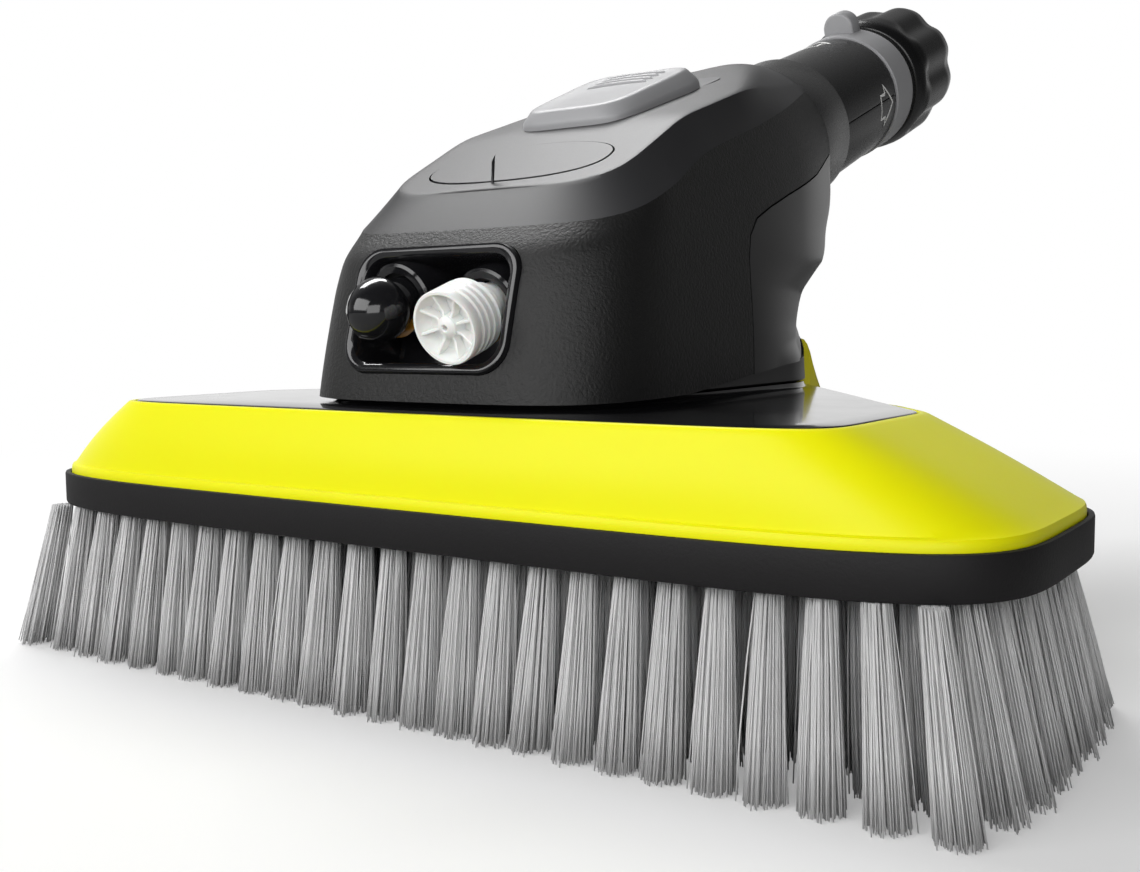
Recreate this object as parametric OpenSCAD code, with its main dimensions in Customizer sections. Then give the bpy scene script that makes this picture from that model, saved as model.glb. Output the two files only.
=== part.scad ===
// Wash brush with two spray nozzles on a lance coupling.
// +X runs along the brush, -Y is the nozzle side, +Y the handle side, +Z up.
// The origin is on the floor, under the middle of the bristle field.

/* [Bristles] */
// Free length of the bristles below the block
bristle_len = 33.8; // [30:0.1:38]
// Number of tufts along the longest row
tuft_count = 27; // [25:2:27]
// Radius of a tuft where it leaves the block
tuft_root_r = 2.4; // [2:0.1:2.6]
// Radius of a tuft at its tip
tuft_tip_r = 3.9; // [3:0.1:3.9]

/* [Brush head] */
// Half length of the rim
rim_a = 118; // [116:0.5:120]
// Half width of the rim
rim_b = 42; // [41.5:0.5:43]
// Height of the rim band
rim_h = 7.7; // [7:0.1:8.5]
// Height of the deck edge above the floor
deck_z = 59.2; // [58.8:0.1:59.4]
// Half length of the deck
deck_a = 89.4; // [86:0.1:90]
// Wall of the head cover
cover_wall = 2.6; // [2.4:0.1:3]

/* [Housing] */
// Half width of the housing at its foot
body_hw = 40.5; // [40:0.1:41]
// Wall of the housing shells
wall = 2.2; // [2:0.1:2.4]
// Width of the chamfer band round the top
chamfer_w = 5; // [4:0.1:5.5]
// Height of the chamfer band round the top
chamfer_h = 8.5; // [7.5:0.1:9]

/* [Window and nozzles] */
// Half width of the nozzle window
window_hw = 21.2; // [20:0.1:21.4]
// Half height of the nozzle window
window_hh = 13.4; // [12.6:0.1:13.5]
// Radius of the foam nozzle
foam_r = 7.5; // [7:0.1:7.6]
// Radius of the fan nozzle
fan_r = 6.8; // [6.4:0.1:7]
// Downward tilt of both nozzles in degrees
nozzle_tilt = 19; // [17:1:20]

/* [Lance] */
// Upward tilt of the lance in degrees
tilt = 19.535; // [19.4:0.005:19.6]
// Radius of the lance tube
tube_r = 20; // [19.5:0.1:20.2]
// Wall of the lance tube
tube_wall = 2.4; // [2:0.1:2.8]
// Radius of the bayonet spigot
spigot_r = 7; // [6.5:0.1:7.2]
// Length of the bayonet spigot behind the grip cap
spigot_len = 24; // [20:1:26]

/* [Hidden] */
gap = 0.3;
rim_z = bristle_len;
rim_top = rim_z + rim_h;
lip = 1.2;
seat_z = rim_top - lip;
inlay_t = 2;
inlay_z = deck_z - inlay_t + 0.2;
pedestal_top = 61.2;
collar_z = pedestal_top + gap;

// Roof line of the housing, as height against y.
roof_line = [[-40, 86], [-6, 104], [25, 120.5], [60, 132], [111, 148.5], [190, 174]];
// Chamfer foot line seen from the side: the joint of top cover and front housing.
joint_line = [[-40, 92], [-13, 95.5], [-4, 99], [10, 104], [25, 112], [60, 123.5], [190, 165.6]];
// Joint between front housing and rear cover seen from the side.
seam_line = [[38.5, 50], [39.3, 84], [39.8, 90], [41.8, 95.5], [46.4, 99.6], [55, 102.8], [67, 106.5],
             [94, 114], [118, 122.1], [170, 138]];
// Lower edge of the housing seen from the side.
hem_line = [[-60, 60.2], [10, 61.6], [39, 64.6], [58, 66], [76, 66.8], [84, 71], [90, 73.3], [190, 73.3]];
// Nearest and farthest y of the housing against height.
front_line = [[50, -29], [60, -28], [67, -26.3], [85, -21.5], [92, -18.5], [96, -13], [175, 30]];
rear_line = [[50, 104], [73, 106], [79, 107.2], [84, 110.9], [90, 117.6], [94, 123.9], [101, 127],
             [106, 134], [115, 142], [175, 150]];
front_mid = 12;
rear_mid = 40;
// Exponent of the rear plan against height: an ellipse at the waist, fuller above.
rear_power = [[76, 2.0], [84, 2.1], [92, 2.6]];
half_cols = 24;

function roof(y) = lookup(y, roof_line);
function side(z) = body_hw - 0.0021 * pow(max(z - 61, 0), 2);

// Distance from the middle to a superellipse in direction a.
function se_r(a, rx, ry, n) = pow(pow(abs(cos(a)) / rx, n) + pow(abs(sin(a)) / ry, n), -1 / n);
function se(a, rx, ry, n, cy) = [se_r(a, rx, ry, n) * cos(a), cy + se_r(a, rx, ry, n) * sin(a)];

// Plan outline of the housing: blunt front, straight flanks, rounder rear.
function plan(hw, yf, yr, nf = 4, nr = 2.6) = concat(
    [for (k = [0:half_cols]) se(180 + 180 * k / half_cols, hw, front_mid - yf, nf, front_mid)],
    [[hw, (front_mid + rear_mid) / 2]],
    [for (k = [0:half_cols]) se(180 * k / half_cols, hw, yr - rear_mid, nr, rear_mid)],
    [[-hw, (front_mid + rear_mid) / 2]]);

function plan_at(z, inset) = plan(side(z) - inset, lookup(z, front_line) + inset,
                                  lookup(z, rear_line) - inset, 4, lookup(z, rear_power));

// Upper edge of the chamfer, as an outline and as heights on the roof.
function crease(inset) = plan(side(112) - chamfer_w - inset, -6 + inset, 140 - inset);
function crease_z(p, inset) = roof(p[1]) - inset;

function ring_z(ring, z) = [for (p = ring) [p[0], p[1], z]];

// Closed skin through rings that run counter-clockwise seen from above.
module loft(rings) {
    n = len(rings[0]);
    m = len(rings);
    sides = [for (j = [0:m - 2], i = [0:n - 1])
        [j * n + i, (j + 1) * n + i, (j + 1) * n + (i + 1) % n, j * n + (i + 1) % n]];
    bottom = [[for (i = [0:n - 1]) i]];
    top = [[for (i = [n - 1:-1:0]) (m - 1) * n + i]];
    polyhedron(points = [for (r = rings) each r], faces = concat(sides, bottom, top), convexity = 6);
}

// Wall, chamfer and roof of the housing, shrunk by inset on every side.
module housing_form(inset, foot_z) {
    top = crease(inset);
    n = len(top);
    steps = [0, 0.12, 0.25, 0.4, 0.55, 0.7, 0.85, 1];
    low = [for (p = top) crease_z(p, inset) - chamfer_h];
    walls = [for (s = steps) [for (i = [0:n - 1])
        let (z = foot_z + s * (low[i] - foot_z), q = plan_at(z, inset)[i]) [q[0], q[1], z]]];
    rim = [for (p = top) [p[0], p[1], crease_z(p, inset)]];
    rings = concat(walls, [rim]);
    m = len(rings);
    sides = [for (j = [0:m - 2], i = [0:n - 1])
        [j * n + i, (j + 1) * n + i, (j + 1) * n + (i + 1) % n, j * n + (i + 1) % n]];
    bottom = [[for (i = [0:n - 1]) i]];
    // The roof is closed by strips across it, because its height depends on y alone.
    k0 = (m - 1) * n;
    half = half_cols / 2;
    front_strips = [for (k = [0:half - 1])
        [k0 + k, k0 + half_cols - k, k0 + half_cols - k - 1, k0 + k + 1]];
    r0 = k0 + half_cols + 2;
    rear_strips = [for (k = [0:half - 1])
        [r0 + k, r0 + half_cols - k, r0 + half_cols - k - 1, r0 + k + 1]];
    middle = [[k0, k0 + n - 1, k0 + half_cols + 1, k0 + half_cols],
              [k0 + n - 1, r0 + half_cols, r0, k0 + half_cols + 1]];
    polyhedron(points = [for (r = rings) each r],
               faces = concat(sides, bottom, front_strips, rear_strips, middle), convexity = 6);
}

// Lance frame: local z runs up the lance, t = 0 is the front edge of the selector ring.
ring_y = 183;
ring_zc = 148.1;
rim_t = -68.5;
seam_t = -45.4;
ring_len = 15;
ribs_len = 3.6;
cap_start = ring_len + ribs_len;
cap_end = 58;
rim_r = 24;

module lance(t) {
    translate([0, ring_y, ring_zc]) rotate([tilt - 90, 0, 0]) translate([0, 0, t]) children();
}

// Neck form: a circle at the housing's rear rim that opens forward and downward.
neck_stations = [[-170, 120], [-75, 60], [-35, 30], [-15, 14], [-6, 9], [0, 0]];
module neck_form(inset, over) {
    rings = [for (s = neck_stations) let (r = rim_r - 0.28 * s[0] - inset, e = s[1])
        [for (k = [0:47]) let (a = 7.5 * k)
            [r * cos(a), r * sin(a) + (sin(a) > 0 ? e : 0), s[0] + (s[0] == 0 ? over : 0)]]];
    lance(rim_t) loft(rings);
}

module housing_solid(inset, foot_z, over) {
    intersection() {
        housing_form(inset, foot_z);
        neck_form(inset, over);
    }
}

// Prism across the whole width, drawn as an outline in y and z.
module cross_prism(points, hw = 80) {
    rotate([90, 0, 90]) translate([0, 0, -hw]) linear_extrude(2 * hw) polygon(points);
}

module housing_shell() {
    difference() {
        housing_solid(0, 58, 0);
        housing_solid(wall, 50, 4);
        cross_prism(concat(hem_line, [[190, 40], [-60, 40]]));
    }
}

module above_joint(raise = 0) {
    cross_prism(concat([for (p = joint_line) [p[0], p[1] + raise]], [[190, 230], [-40, 230]]));
}

module behind_seam() {
    cross_prism(concat(seam_line, [[170, 30], [38.5, 30]]));
}

// Window frame: local -y leaves the front face squarely, local z runs up the face.
face_lean = 15.5;
window_x = -1.2;
window_y = -22.6;
window_z = 79.2;
module window_frame() {
    translate([window_x, window_y, window_z]) rotate([-face_lean, 0, 0]) children();
}

module round_rect(hw, hh, r) {
    square([2 * hw, 2 * (hh - r)], center = true);
    square([2 * (hw - r), 2 * hh], center = true);
    for (sx = [-1, 1], sy = [-1, 1]) translate([sx * (hw - r), sy * (hh - r)]) circle(r, $fn = 32);
}

module window_prism(grow, y0, y1) {
    window_frame() translate([0, y1, 0]) rotate([90, 0, 0]) linear_extrude(y1 - y0)
        round_rect(window_hw + grow, window_hh + grow, 6 + grow);
}

// Nozzle frame: local z leaves the nozzle, its origin is at the orifice.
foam_tip = [9.6, -31.5, 75.4];
fan_tip = [-12.4, -32.2, 77];
module nozzle_frame(tip) {
    translate(tip) rotate([90 + nozzle_tilt, 0, 0]) children();
}

// ---------------------------------------------------------------- brush head

// Point of a superellipse at parameter t, with its own exponent on each axis.
function se_t(t, rx, ry, nx, ny, cy) = [rx * sign(cos(t)) * pow(abs(cos(t)), 2 / nx),
                                        cy + ry * sign(sin(t)) * pow(abs(sin(t)), 2 / ny)];

// A closed outline moved inward by d, along its own normals.
function shrink(ring, d) = let (n = len(ring)) [for (i = [0:n - 1])
    let (v = ring[(i + 1) % n] - ring[(i + n - 1) % n], w = v / norm(v)) ring[i] - d * [w[1], -w[0]]];

function rim_ring(inset) = shrink([for (k = [0:71]) se_t(5 * k + 0.01, rim_a, rim_b, 5.9, 4.25, 0)], inset);

screw_spots = [for (x = [-70, 0, 70], y = [-24, 24]) [x, y]];

module bristle_block() {
    color("#2b2a2c") difference() {
        translate([0, 0, rim_z]) linear_extrude(rim_h) polygon(rim_ring(0));
        translate([0, 0, seat_z]) linear_extrude(rim_h) polygon(rim_ring(lip));
        translate([0, 0, rim_z + 3.6]) linear_extrude(rim_h) polygon(rim_ring(10));
    }
    color("#2b2a2c") for (p = screw_spots) translate([p[0], p[1], rim_z + 3]) difference() {
        cylinder(h = 14, r = 4.5, $fn = 32);
        translate([0, 0, 4]) cylinder(h = 14, r = 2.02, $fn = 32);
    }
}

rows = 9;
row_pitch = 9;
root_reach = 110;
function tuft_lean(x) = 8 * pow(abs(x) / root_reach, 5) * sign(x);

// One row of leaning tufts, each standing on the floor on its lowest edge.
module tuft_row(k) {
    y = (k - (rows + 1) / 2) * row_pitch;
    reach = root_reach - 3.4 * pow(abs(y) / 36, 4);
    count = tuft_count - (abs(y) > 30 ? 2 : 0);
    dy = 4.4 * pow(abs(y) / 36, 3) * sign(y);
    color("#d8dadc") for (i = [0:count - 1]) {
        x = -reach + 2 * reach * i / (count - 1);
        dx = tuft_lean(x);
        lean = atan2(norm([dx, dy]), bristle_len);
        turn = atan2(dy, dx);
        drop = tuft_root_r * sin(lean) + 0.02;
        rise = tuft_tip_r * sin(lean);
        translate([x, y, rim_z - drop]) rotate([0, 0, turn]) rotate([0, 180 - lean, 0])
            cylinder(h = (rim_z - drop - rise) / cos(lean), r1 = tuft_root_r, r2 = tuft_tip_r, $fn = 24);
    }
}

// Deck outline: a straight front with round ends, and a tail that narrows to the foot.
deck_mid = 8;
lever_mid = 66;
foot_r = 36.5;
tail_x = [[0, 89.4], [12, 88.6], [30, 77.5], [45, 64.8], [55, 55.8], [62, 48.1], [70, 37], [76, 28.5],
          [83, 15], [90, 0]];
tail_y = [[0, 8], [12, 14], [30, 29.2], [45, 41.2], [55, 51], [62, 58.3], [70, 76], [76, 89], [83, 99.2],
          [90, 102.5]];
deck_front = 44;
function deck_point(t) = t > 180 ? se_t(t, deck_a * (1 + 0.02 * abs(sin(t))), deck_front, 9, 9, deck_mid)
    : let (m = min(t, 180 - t)) [lookup(m, tail_x) * sign(90 - t) * deck_a / 89.4, lookup(m, tail_y)];
function deck_ring(inset) = shrink([for (k = [0:71]) deck_point(5 * k + 0.01)], inset);

// Ring of the cover at a share f of its rise; the tail keeps its plan down to its lower edge.
function cover_ring(f, inset) = let (lo = rim_ring(lip + inset), hi = deck_ring(inset))
    [for (i = [0:71]) let (w = min(max((hi[i][1] - 22) / 26, 0), 1), g = f + (1 - f) * w)
        lo[i] * (1 - g) + hi[i] * g];

edge_z = rim_top + 2.2;
module cover_form() {
    loft([ring_z(rim_ring(lip), seat_z),
          ring_z(rim_ring(lip + 0.6), edge_z),
          ring_z(cover_ring(0.72, 0), deck_z - 4.4),
          ring_z(deck_ring(0), deck_z)]);
}

// Hollow of the cover, which stays short of the tail.
module cover_hollow() {
    crown = [for (k = [0:71]) se_t(5 * k + 0.01, deck_a - cover_wall - 4, 32, 8, 8, -1)];
    loft([ring_z(rim_ring(lip + cover_wall), seat_z - 1),
          ring_z(rim_ring(lip + cover_wall + 0.6), edge_z - 0.5),
          ring_z(crown, inlay_z - cover_wall)]);
}

lever_pin_y = 104;
lever_pin_z = 50;
lug_x = 20.4;
lug_t = 3;

module head_cover() {
    color("#ebee35") difference() {
        cover_form();
        cover_hollow();
        translate([0, 0, inlay_z]) linear_extrude(5) polygon(deck_ring(1.6));
        for (p = screw_spots) translate([p[0], p[1], 40]) cylinder(h = 30, r = 2.3, $fn = 32);
    }
    color("#ebee35") for (s = [-1, 1]) translate([s * (lug_x + lug_t / 2), 0, 0]) difference() {
        cross_prism([[84, 54.7], [84, 51], [99, 46.5], [107, 46.5], [107, 53.6], [96, 54.7]], lug_t / 2);
        translate([0, lever_pin_y, lever_pin_z]) rotate([0, 90, 0])
            cylinder(h = 10, r = 2, center = true, $fn = 32);
    }
}

// Foot plan: blunt in front and a half circle about the middle of the lever behind.
module pedestal_plan(grow) {
    r = foot_r + grow;
    polygon(concat([for (k = [0:half_cols]) se(180 + 180 * k / half_cols, r, r - 1, 4, front_mid)],
                   [for (k = [0:half_cols]) [r * cos(180 * k / half_cols), lever_mid + r * sin(180 * k / half_cols)]]));
}

module deck_plate() {
    color("#3a3a3c") difference() {
        union() {
            translate([0, 0, inlay_z]) linear_extrude(inlay_t) polygon(deck_ring(1.7));
            translate([0, 0, inlay_z + 1]) linear_extrude(pedestal_top - inlay_z - 1)
                intersection() {
                    pedestal_plan(1);
                    polygon(deck_ring(1.7));
                }
        }
        for (p = screw_spots) translate([p[0], p[1], inlay_z - 1])
            cylinder(h = 1 + 0.9, r = 4.6, $fn = 32);
    }
}

module cover_screws() {
    color("silver") for (p = screw_spots) translate([p[0], p[1], inlay_z]) {
        cylinder(h = 0.8, r = 4.2, $fn = 32);
        translate([0, 0, -14]) cylinder(h = 14, r = 2, $fn = 32);
    }
}

module lever_pin() {
    color("silver") translate([0, lever_pin_y, lever_pin_z]) rotate([0, 90, 0])
        cylinder(h = 2 * (lug_x + lug_t + 0.6), r = 1.95, center = true, $fn = 32);
}

module lever_spring() {
    color("gray") for (i = [-4:4]) translate([i * 1.7, lever_pin_y, lever_pin_z]) rotate([0, 90, 0])
        rotate_extrude($fn = 32) translate([2.85, 0]) circle(0.8, $fn = 16);
}

ear_x = 15.6;
lever_hw = 29.5;
module release_lever() {
    profile = [[37.1, 57.2], [45, 56.4], [47, 57], [44.4, 61], [42, 65.5], [40.6, 69], [39.6, 71.2],
               [38.4, 71.7], [37.1, 71]];
    color("#d8cf26") difference() {
        union() {
            intersection() {
                translate([0, lever_mid, 0]) rotate([0, 0, 44]) rotate_extrude(angle = 92, $fn = 96)
                    polygon(profile);
                translate([-lever_hw, 80, 50]) cube([2 * lever_hw, 50, 30]);
            }
            for (s = [-1, 1]) translate([s * (ear_x + 2), 0, 0])
                cross_prism([[100.4, 47.2], [107, 47.2], [108.4, 57.4], [103.5, 61], [100.4, 58]], 2);
        }
        translate([0, lever_pin_y, lever_pin_z]) rotate([0, 90, 0])
            cylinder(h = 60, r = 2, center = true, $fn = 32);
    }
}

// ------------------------------------------------------------------- housing

module base_collar() {
    color("#303032") difference() {
        translate([0, 0, collar_z]) linear_extrude(11.5) pedestal_plan(0);
        translate([0, 0, collar_z - 1]) linear_extrude(14) pedestal_plan(-2.6);
        cross_prism([[-50, 60], [6, 60], [6, 62.6], [30, 63.6], [58, 65.6], [76, 66.4], [84, 70.6], [90, 73],
                     [120, 73], [120, 90], [-50, 90]]);
    }
}

module front_housing() {
    color("#2a2a2a") difference() {
        housing_shell();
        above_joint();
        behind_seam();
        window_prism(0, -20, 20);
    }
}

module rear_cover() {
    color("#3a3a3a") difference() {
        intersection() {
            housing_shell();
            behind_seam();
        }
        above_joint();
    }
}

slope_y = 25;
slope_z = 120.5;
slope = 19.2;
slide_len = 42;
slide_travel = 10;
slide_start = -1;

// Slope frame: origin on the roof at slope_y, local y runs up the roof.
module slope_frame() {
    translate([0, slope_y, slope_z]) rotate([slope, 0, 0]) children();
}

slot_hw = 3;
module top_cover() {
    color("#555557") difference() {
        intersection() {
            housing_shell();
            above_joint();
        }
        slope_frame() translate([-17, slide_start - 0.6, -0.9])
            cube([34, slide_len + slide_travel + 1.4, 6]);
        slope_frame() translate([-slot_hw, 9, -8]) cube([2 * slot_hw, 20, 12]);
        front_slope_frame() translate([0, 0, -0.8]) linear_extrude(3) badge_plan(0.1);
    }
}

module front_slope_frame() {
    translate([0, 8.5, lookup(8.5, roof_line)]) rotate([atan2(16.5, 31), 0, 0]) children();
}

module badge_plan(grow) {
    polygon([for (k = [0:47]) se(7.5 * k, 23.5 + grow, 10.6 + grow, 2.4, -2.6)]);
}

module badge_plate() {
    color("#4a4a4c") front_slope_frame() translate([0, 0, -0.8]) linear_extrude(1.1) badge_plan(0);
}

module slider_plan(hw0, hw1, y0, y1) {
    polygon([[-hw0 + 3, y0], [hw0 - 3, y0], [hw0, y0 + 3], [hw1, y1 - 3], [hw1 - 3, y1], [3 - hw1, y1],
             [-hw1, y1 - 3], [-hw0, y0 + 3]]);
}

module mode_slider() {
    color("#9a9a9c") slope_frame() {
        difference() {
            union() {
                translate([0, 0, -0.6]) linear_extrude(1.8) slider_plan(15, 16.6, slide_start, slide_len - 1);
                translate([0, 0, 1.2]) linear_extrude(1.4)
                    slider_plan(14.2, 15.8, slide_start + 0.8, slide_len - 1.8);
                translate([0, 0, 2.6]) linear_extrude(1.6)
                    slider_plan(12.8, 14.4, slide_start + 2.2, slide_len - 3.2);
            }
            for (i = [0:3]) translate([-10, slide_len - 17 + 3.2 * i, 3.4]) cube([20, 1.2, 2]);
        }
        translate([-slot_hw + gap, 10, -9]) cube([2 * (slot_hw - gap), 8, 8.6]);
    }
}

spool_r = 4;
module valve_spool() {
    color("white") slope_frame() translate([0, 2, -13]) rotate([-90, 0, 0])
        cylinder(h = 26, r = spool_r, $fn = 32);
}

module valve_block() {
    color("#4a4a50") difference() {
        slope_frame() difference() {
            translate([-12, -4, -30]) cube([24, 40, 22]);
            translate([0, -5, -13]) rotate([-90, 0, 0]) cylinder(h = 60, r = spool_r + 0.06, $fn = 32);
            translate([-slot_hw - 0.2, -5, -13]) cube([2 * slot_hw + 0.4, 60, 9]);
        }
        lance(pipe_start - 1) cylinder(h = 60, r = pipe_r + 0.05, $fn = 48);
    }
}

module window_bezel() {
    color("#1c1c1e") difference() {
        window_prism(-0.05, -0.9, 15);
        window_prism(-2, -3, 12.5);
        for (tip = [foam_tip, fan_tip]) nozzle_frame(tip) translate([0, 0, -60])
            cylinder(h = 70, r = 7.8, $fn = 48);
    }
}

module nozzle_carrier() {
    color("#b8862b") for (tip = [foam_tip, fan_tip]) nozzle_frame(tip) translate([0, 0, -34]) difference() {
        cylinder(h = 21, r = 7.6, $fn = 48);
        translate([0, 0, 3]) cylinder(h = 21, r = 5.6, $fn = 48);
        translate([0, 0, -1]) cylinder(h = 21, r = 2.5, $fn = 48);
    }
}

module foam_nozzle() {
    color("#f2f2f2") nozzle_frame(foam_tip) {
        difference() {
            translate([0, 0, -9]) cylinder(h = 9, r = foam_r, $fn = 64);
            translate([0, 0, -4.5]) cylinder(h = 5, r = foam_r - 1.1, $fn = 64);
            for (i = [0:2]) translate([0, 0, -7.5 + 2 * i]) rotate_extrude($fn = 64)
                translate([foam_r - 0.4, 0]) square([1, 0.8]);
            translate([0, 0, -40]) cylinder(h = 60, r = 0.8, $fn = 32);
        }
        intersection() {
            translate([0, 0, -4.5]) cylinder(h = 3.6, r = foam_r - 1.1, $fn = 64);
            for (k = [0:7]) rotate([0, 0, 45 * k]) translate([2, -0.4, -4.5]) cube([6, 0.8, 3.6]);
        }
        translate([0, 0, -4.5]) difference() {
            cylinder(h = 4, r = 2.3, $fn = 48);
            translate([0, 0, -1]) cylinder(h = 6, r = 0.8, $fn = 32);
        }
        translate([0, 0, -30.9]) difference() {
            cylinder(h = 21.9, r = 4.4, $fn = 48);
            translate([0, 0, -1]) cylinder(h = 24, r = 0.8, $fn = 32);
        }
    }
}

module fan_nozzle() {
    color("#202022") nozzle_frame(fan_tip) difference() {
        union() {
            translate([0, 0, -9.5]) cylinder(h = 5.5, r = fan_r, $fn = 64);
            translate([0, 0, -4.6]) intersection() {
                sphere(4.6, $fn = 48);
                translate([0, 0, 4.6]) cube([12, 12, 9.2], center = true);
            }
            translate([0, 0, -30.9]) cylinder(h = 22, r = 4.4, $fn = 48);
        }
        translate([0, 0, -1]) cube([10, 1, 4], center = true);
        translate([0, 0, -32]) cylinder(h = 30.5, r = 0.8, $fn = 32);
    }
}

module nozzle_seals() {
    color("#111111") for (tip = [foam_tip, fan_tip], z = [-18, -24]) nozzle_frame(tip)
        translate([0, 0, z]) difference() {
            cylinder(h = 2, r = 5.58, $fn = 48);
            translate([0, 0, -1]) cylinder(h = 4, r = 4.42, $fn = 48);
        }
}

pipe_r = 5;
pipe_start = -152;
module feed_pipe() {
    color("#6a6a70") lance(pipe_start) difference() {
        cylinder(h = cap_end - 8 - pipe_start, r = pipe_r, $fn = 48);
        translate([0, 0, -1]) cylinder(h = cap_end - pipe_start, r = pipe_r - 1.4, $fn = 48);
    }
}

module lance_collar() {
    color("#262628") lance(rim_t - 6) difference() {
        union() {
            cylinder(h = seam_t - rim_t + 6, r = 21.6, $fn = 96);
        }
        translate([0, 0, -1]) cylinder(h = 60, r = tube_r - tube_wall, $fn = 96);
    }
}

tube_draft = 0.6;
module tube_half(up) {
    lance(seam_t) difference() {
        cylinder(h = -seam_t, r1 = tube_r, r2 = tube_r - tube_draft, $fn = 96);
        translate([0, 0, -1]) cylinder(h = 60, r = tube_r - tube_wall, $fn = 96);
        translate([-30, up ? 0 : -60, -1]) cube([60, 60, 60]);
    }
}

module tube_upper() {
    color("#1f1f21") tube_half(true);
}

module tube_lower() {
    color("#1f1f21") tube_half(false);
}

sleeve_r = 17;
ring_r = 20;
tab_angle = -91;
tab_reach = 21.4;
module selector_ring() {
    color("#a8a8aa") lance(gap) difference() {
        union() {
            cylinder(h = ring_len - 2 * gap, r = ring_r, $fn = 96);
            rotate([0, 0, tab_angle]) translate([0, 0, 6.4]) linear_extrude(7.4) hull() {
                translate([18.4, -4.8]) square([1, 9.6]);
                translate([tab_reach, 0]) circle(5, $fn = 32);
            }
        }
        translate([0, 0, -1]) cylinder(h = 20, r = sleeve_r + 0.06, $fn = 96);
    }
}

module seal_rings() {
    color("#141416") lance(0) difference() {
        union() {
            cylinder(h = ring_len, r = sleeve_r, $fn = 96);
            for (i = [0:2]) translate([0, 0, ring_len + i * ribs_len / 3]) {
                cylinder(h = ribs_len / 3, r = 18.6, $fn = 96);
                cylinder(h = 0.7, r = 19.8, $fn = 96);
            }
        }
        translate([0, 0, -1]) cylinder(h = 40, r = 14.5, $fn = 96);
    }
}

spigot_base = 14;
spigot_base_r = 8.4;
seal_z = 27;
scoops = 8;
cap_r = 22;
module grip_cap() {
    color("#1a1a1c") lance(cap_start) difference() {
        rotate_extrude($fn = 96) polygon([[0, 0], [19.6, 0], [21, 2.4], [cap_r, 9], [cap_r, 29], [21, 35.4],
                                          [18.6, 39.2], [15.6, 40], [0, 40]]);
        for (k = [0:scoops - 1]) rotate([0, 0, 360 * (k + 0.5) / scoops]) translate([cap_r + 9.8, 0, 6])
            cylinder(h = 60, r = 11, $fn = 64);
        translate([0, 0, -1]) cylinder(h = 34, r = 14.5, $fn = 96);
        translate([0, 0, -1]) cylinder(h = 60, r = spigot_base_r, $fn = 48);
    }
}

module bayonet_spigot() {
    color("#3c3c40") lance(cap_end - 8) difference() {
        union() {
            cylinder(h = spigot_base, r = spigot_base_r, $fn = 48);
            cylinder(h = spigot_len + 8, r = spigot_r, $fn = 48);
            cylinder(h = 0.9, r = 11, $fn = 48);
            for (s = [-1, 1]) translate([s * (spigot_base_r + 0.6) - 2, -2.5, 9]) cube([4, 5, 4]);
        }
        translate([0, 0, -1]) cylinder(h = 60, r = 3.6, $fn = 48);
        translate([0, 0, seal_z]) rotate_extrude($fn = 48) translate([spigot_r - 1.2, 0]) square([3, 2.4]);
    }
}

module spigot_seal() {
    color("#111111") lance(cap_end - 8 + seal_z) difference() {
        cylinder(h = 2.4, r = spigot_r - 0.05, $fn = 48);
        translate([0, 0, -1]) cylinder(h = 5, r = spigot_r - 1.2, $fn = 48);
    }
}

module inlet_filter() {
    color("#d8d8d0") lance(cap_end + spigot_len - 9) difference() {
        cylinder(h = 9.4, r = 3.6, $fn = 48);
        translate([0, 0, 1.2]) cylinder(h = 20, r = 2.4, $fn = 48);
    }
}

for_tufts = [for (k = [1:rows]) str("tuft_row_", k)];

bristle_block();
for (k = [1:rows]) tuft_row(k);
head_cover();
deck_plate();
cover_screws();
lever_pin();
lever_spring();
release_lever();
base_collar();
front_housing();
rear_cover();
top_cover();
badge_plate();
mode_slider();
valve_spool();
valve_block();
window_bezel();
nozzle_carrier();
foam_nozzle();
fan_nozzle();
nozzle_seals();
feed_pipe();
lance_collar();
tube_upper();
tube_lower();
selector_ring();
seal_rings();
grip_cap();
bayonet_spigot();
spigot_seal();
inlet_filter();
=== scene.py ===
"""Wash brush with a nozzle housing on an inclined lance: its pieces, finishes and studio stage."""
import math
import random

import bmesh
import bpy
from bpy.props import FloatProperty, FloatVectorProperty, IntProperty, PointerProperty
from mathutils import Matrix, Vector


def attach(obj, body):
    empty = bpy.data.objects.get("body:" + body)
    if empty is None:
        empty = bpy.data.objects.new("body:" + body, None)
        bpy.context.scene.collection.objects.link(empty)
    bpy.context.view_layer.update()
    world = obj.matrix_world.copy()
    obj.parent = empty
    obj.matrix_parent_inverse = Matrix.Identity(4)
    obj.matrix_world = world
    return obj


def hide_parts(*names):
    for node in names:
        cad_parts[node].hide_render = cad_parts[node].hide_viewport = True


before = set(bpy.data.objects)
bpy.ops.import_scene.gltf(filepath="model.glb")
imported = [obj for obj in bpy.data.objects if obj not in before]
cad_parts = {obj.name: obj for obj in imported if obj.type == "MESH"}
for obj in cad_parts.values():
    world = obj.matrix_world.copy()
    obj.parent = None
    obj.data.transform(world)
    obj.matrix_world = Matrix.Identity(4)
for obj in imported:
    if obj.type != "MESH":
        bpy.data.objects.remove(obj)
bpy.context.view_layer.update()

bl_info = {
    "name": "Wash Brush",
    "version": (1, 0, 0),
    "blender": (4, 5, 0),
    "location": "View3D > Sidebar > Wash Brush",
    "description": "Builds a wash brush with a nozzle housing around its packed frame",
    "category": "Object",
}

MM = 0.001
HEAD, LEVER, HOUSING, SLIDER, SELECTOR = "brush_head", "lever", "housing", "slider", "selector"

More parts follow.
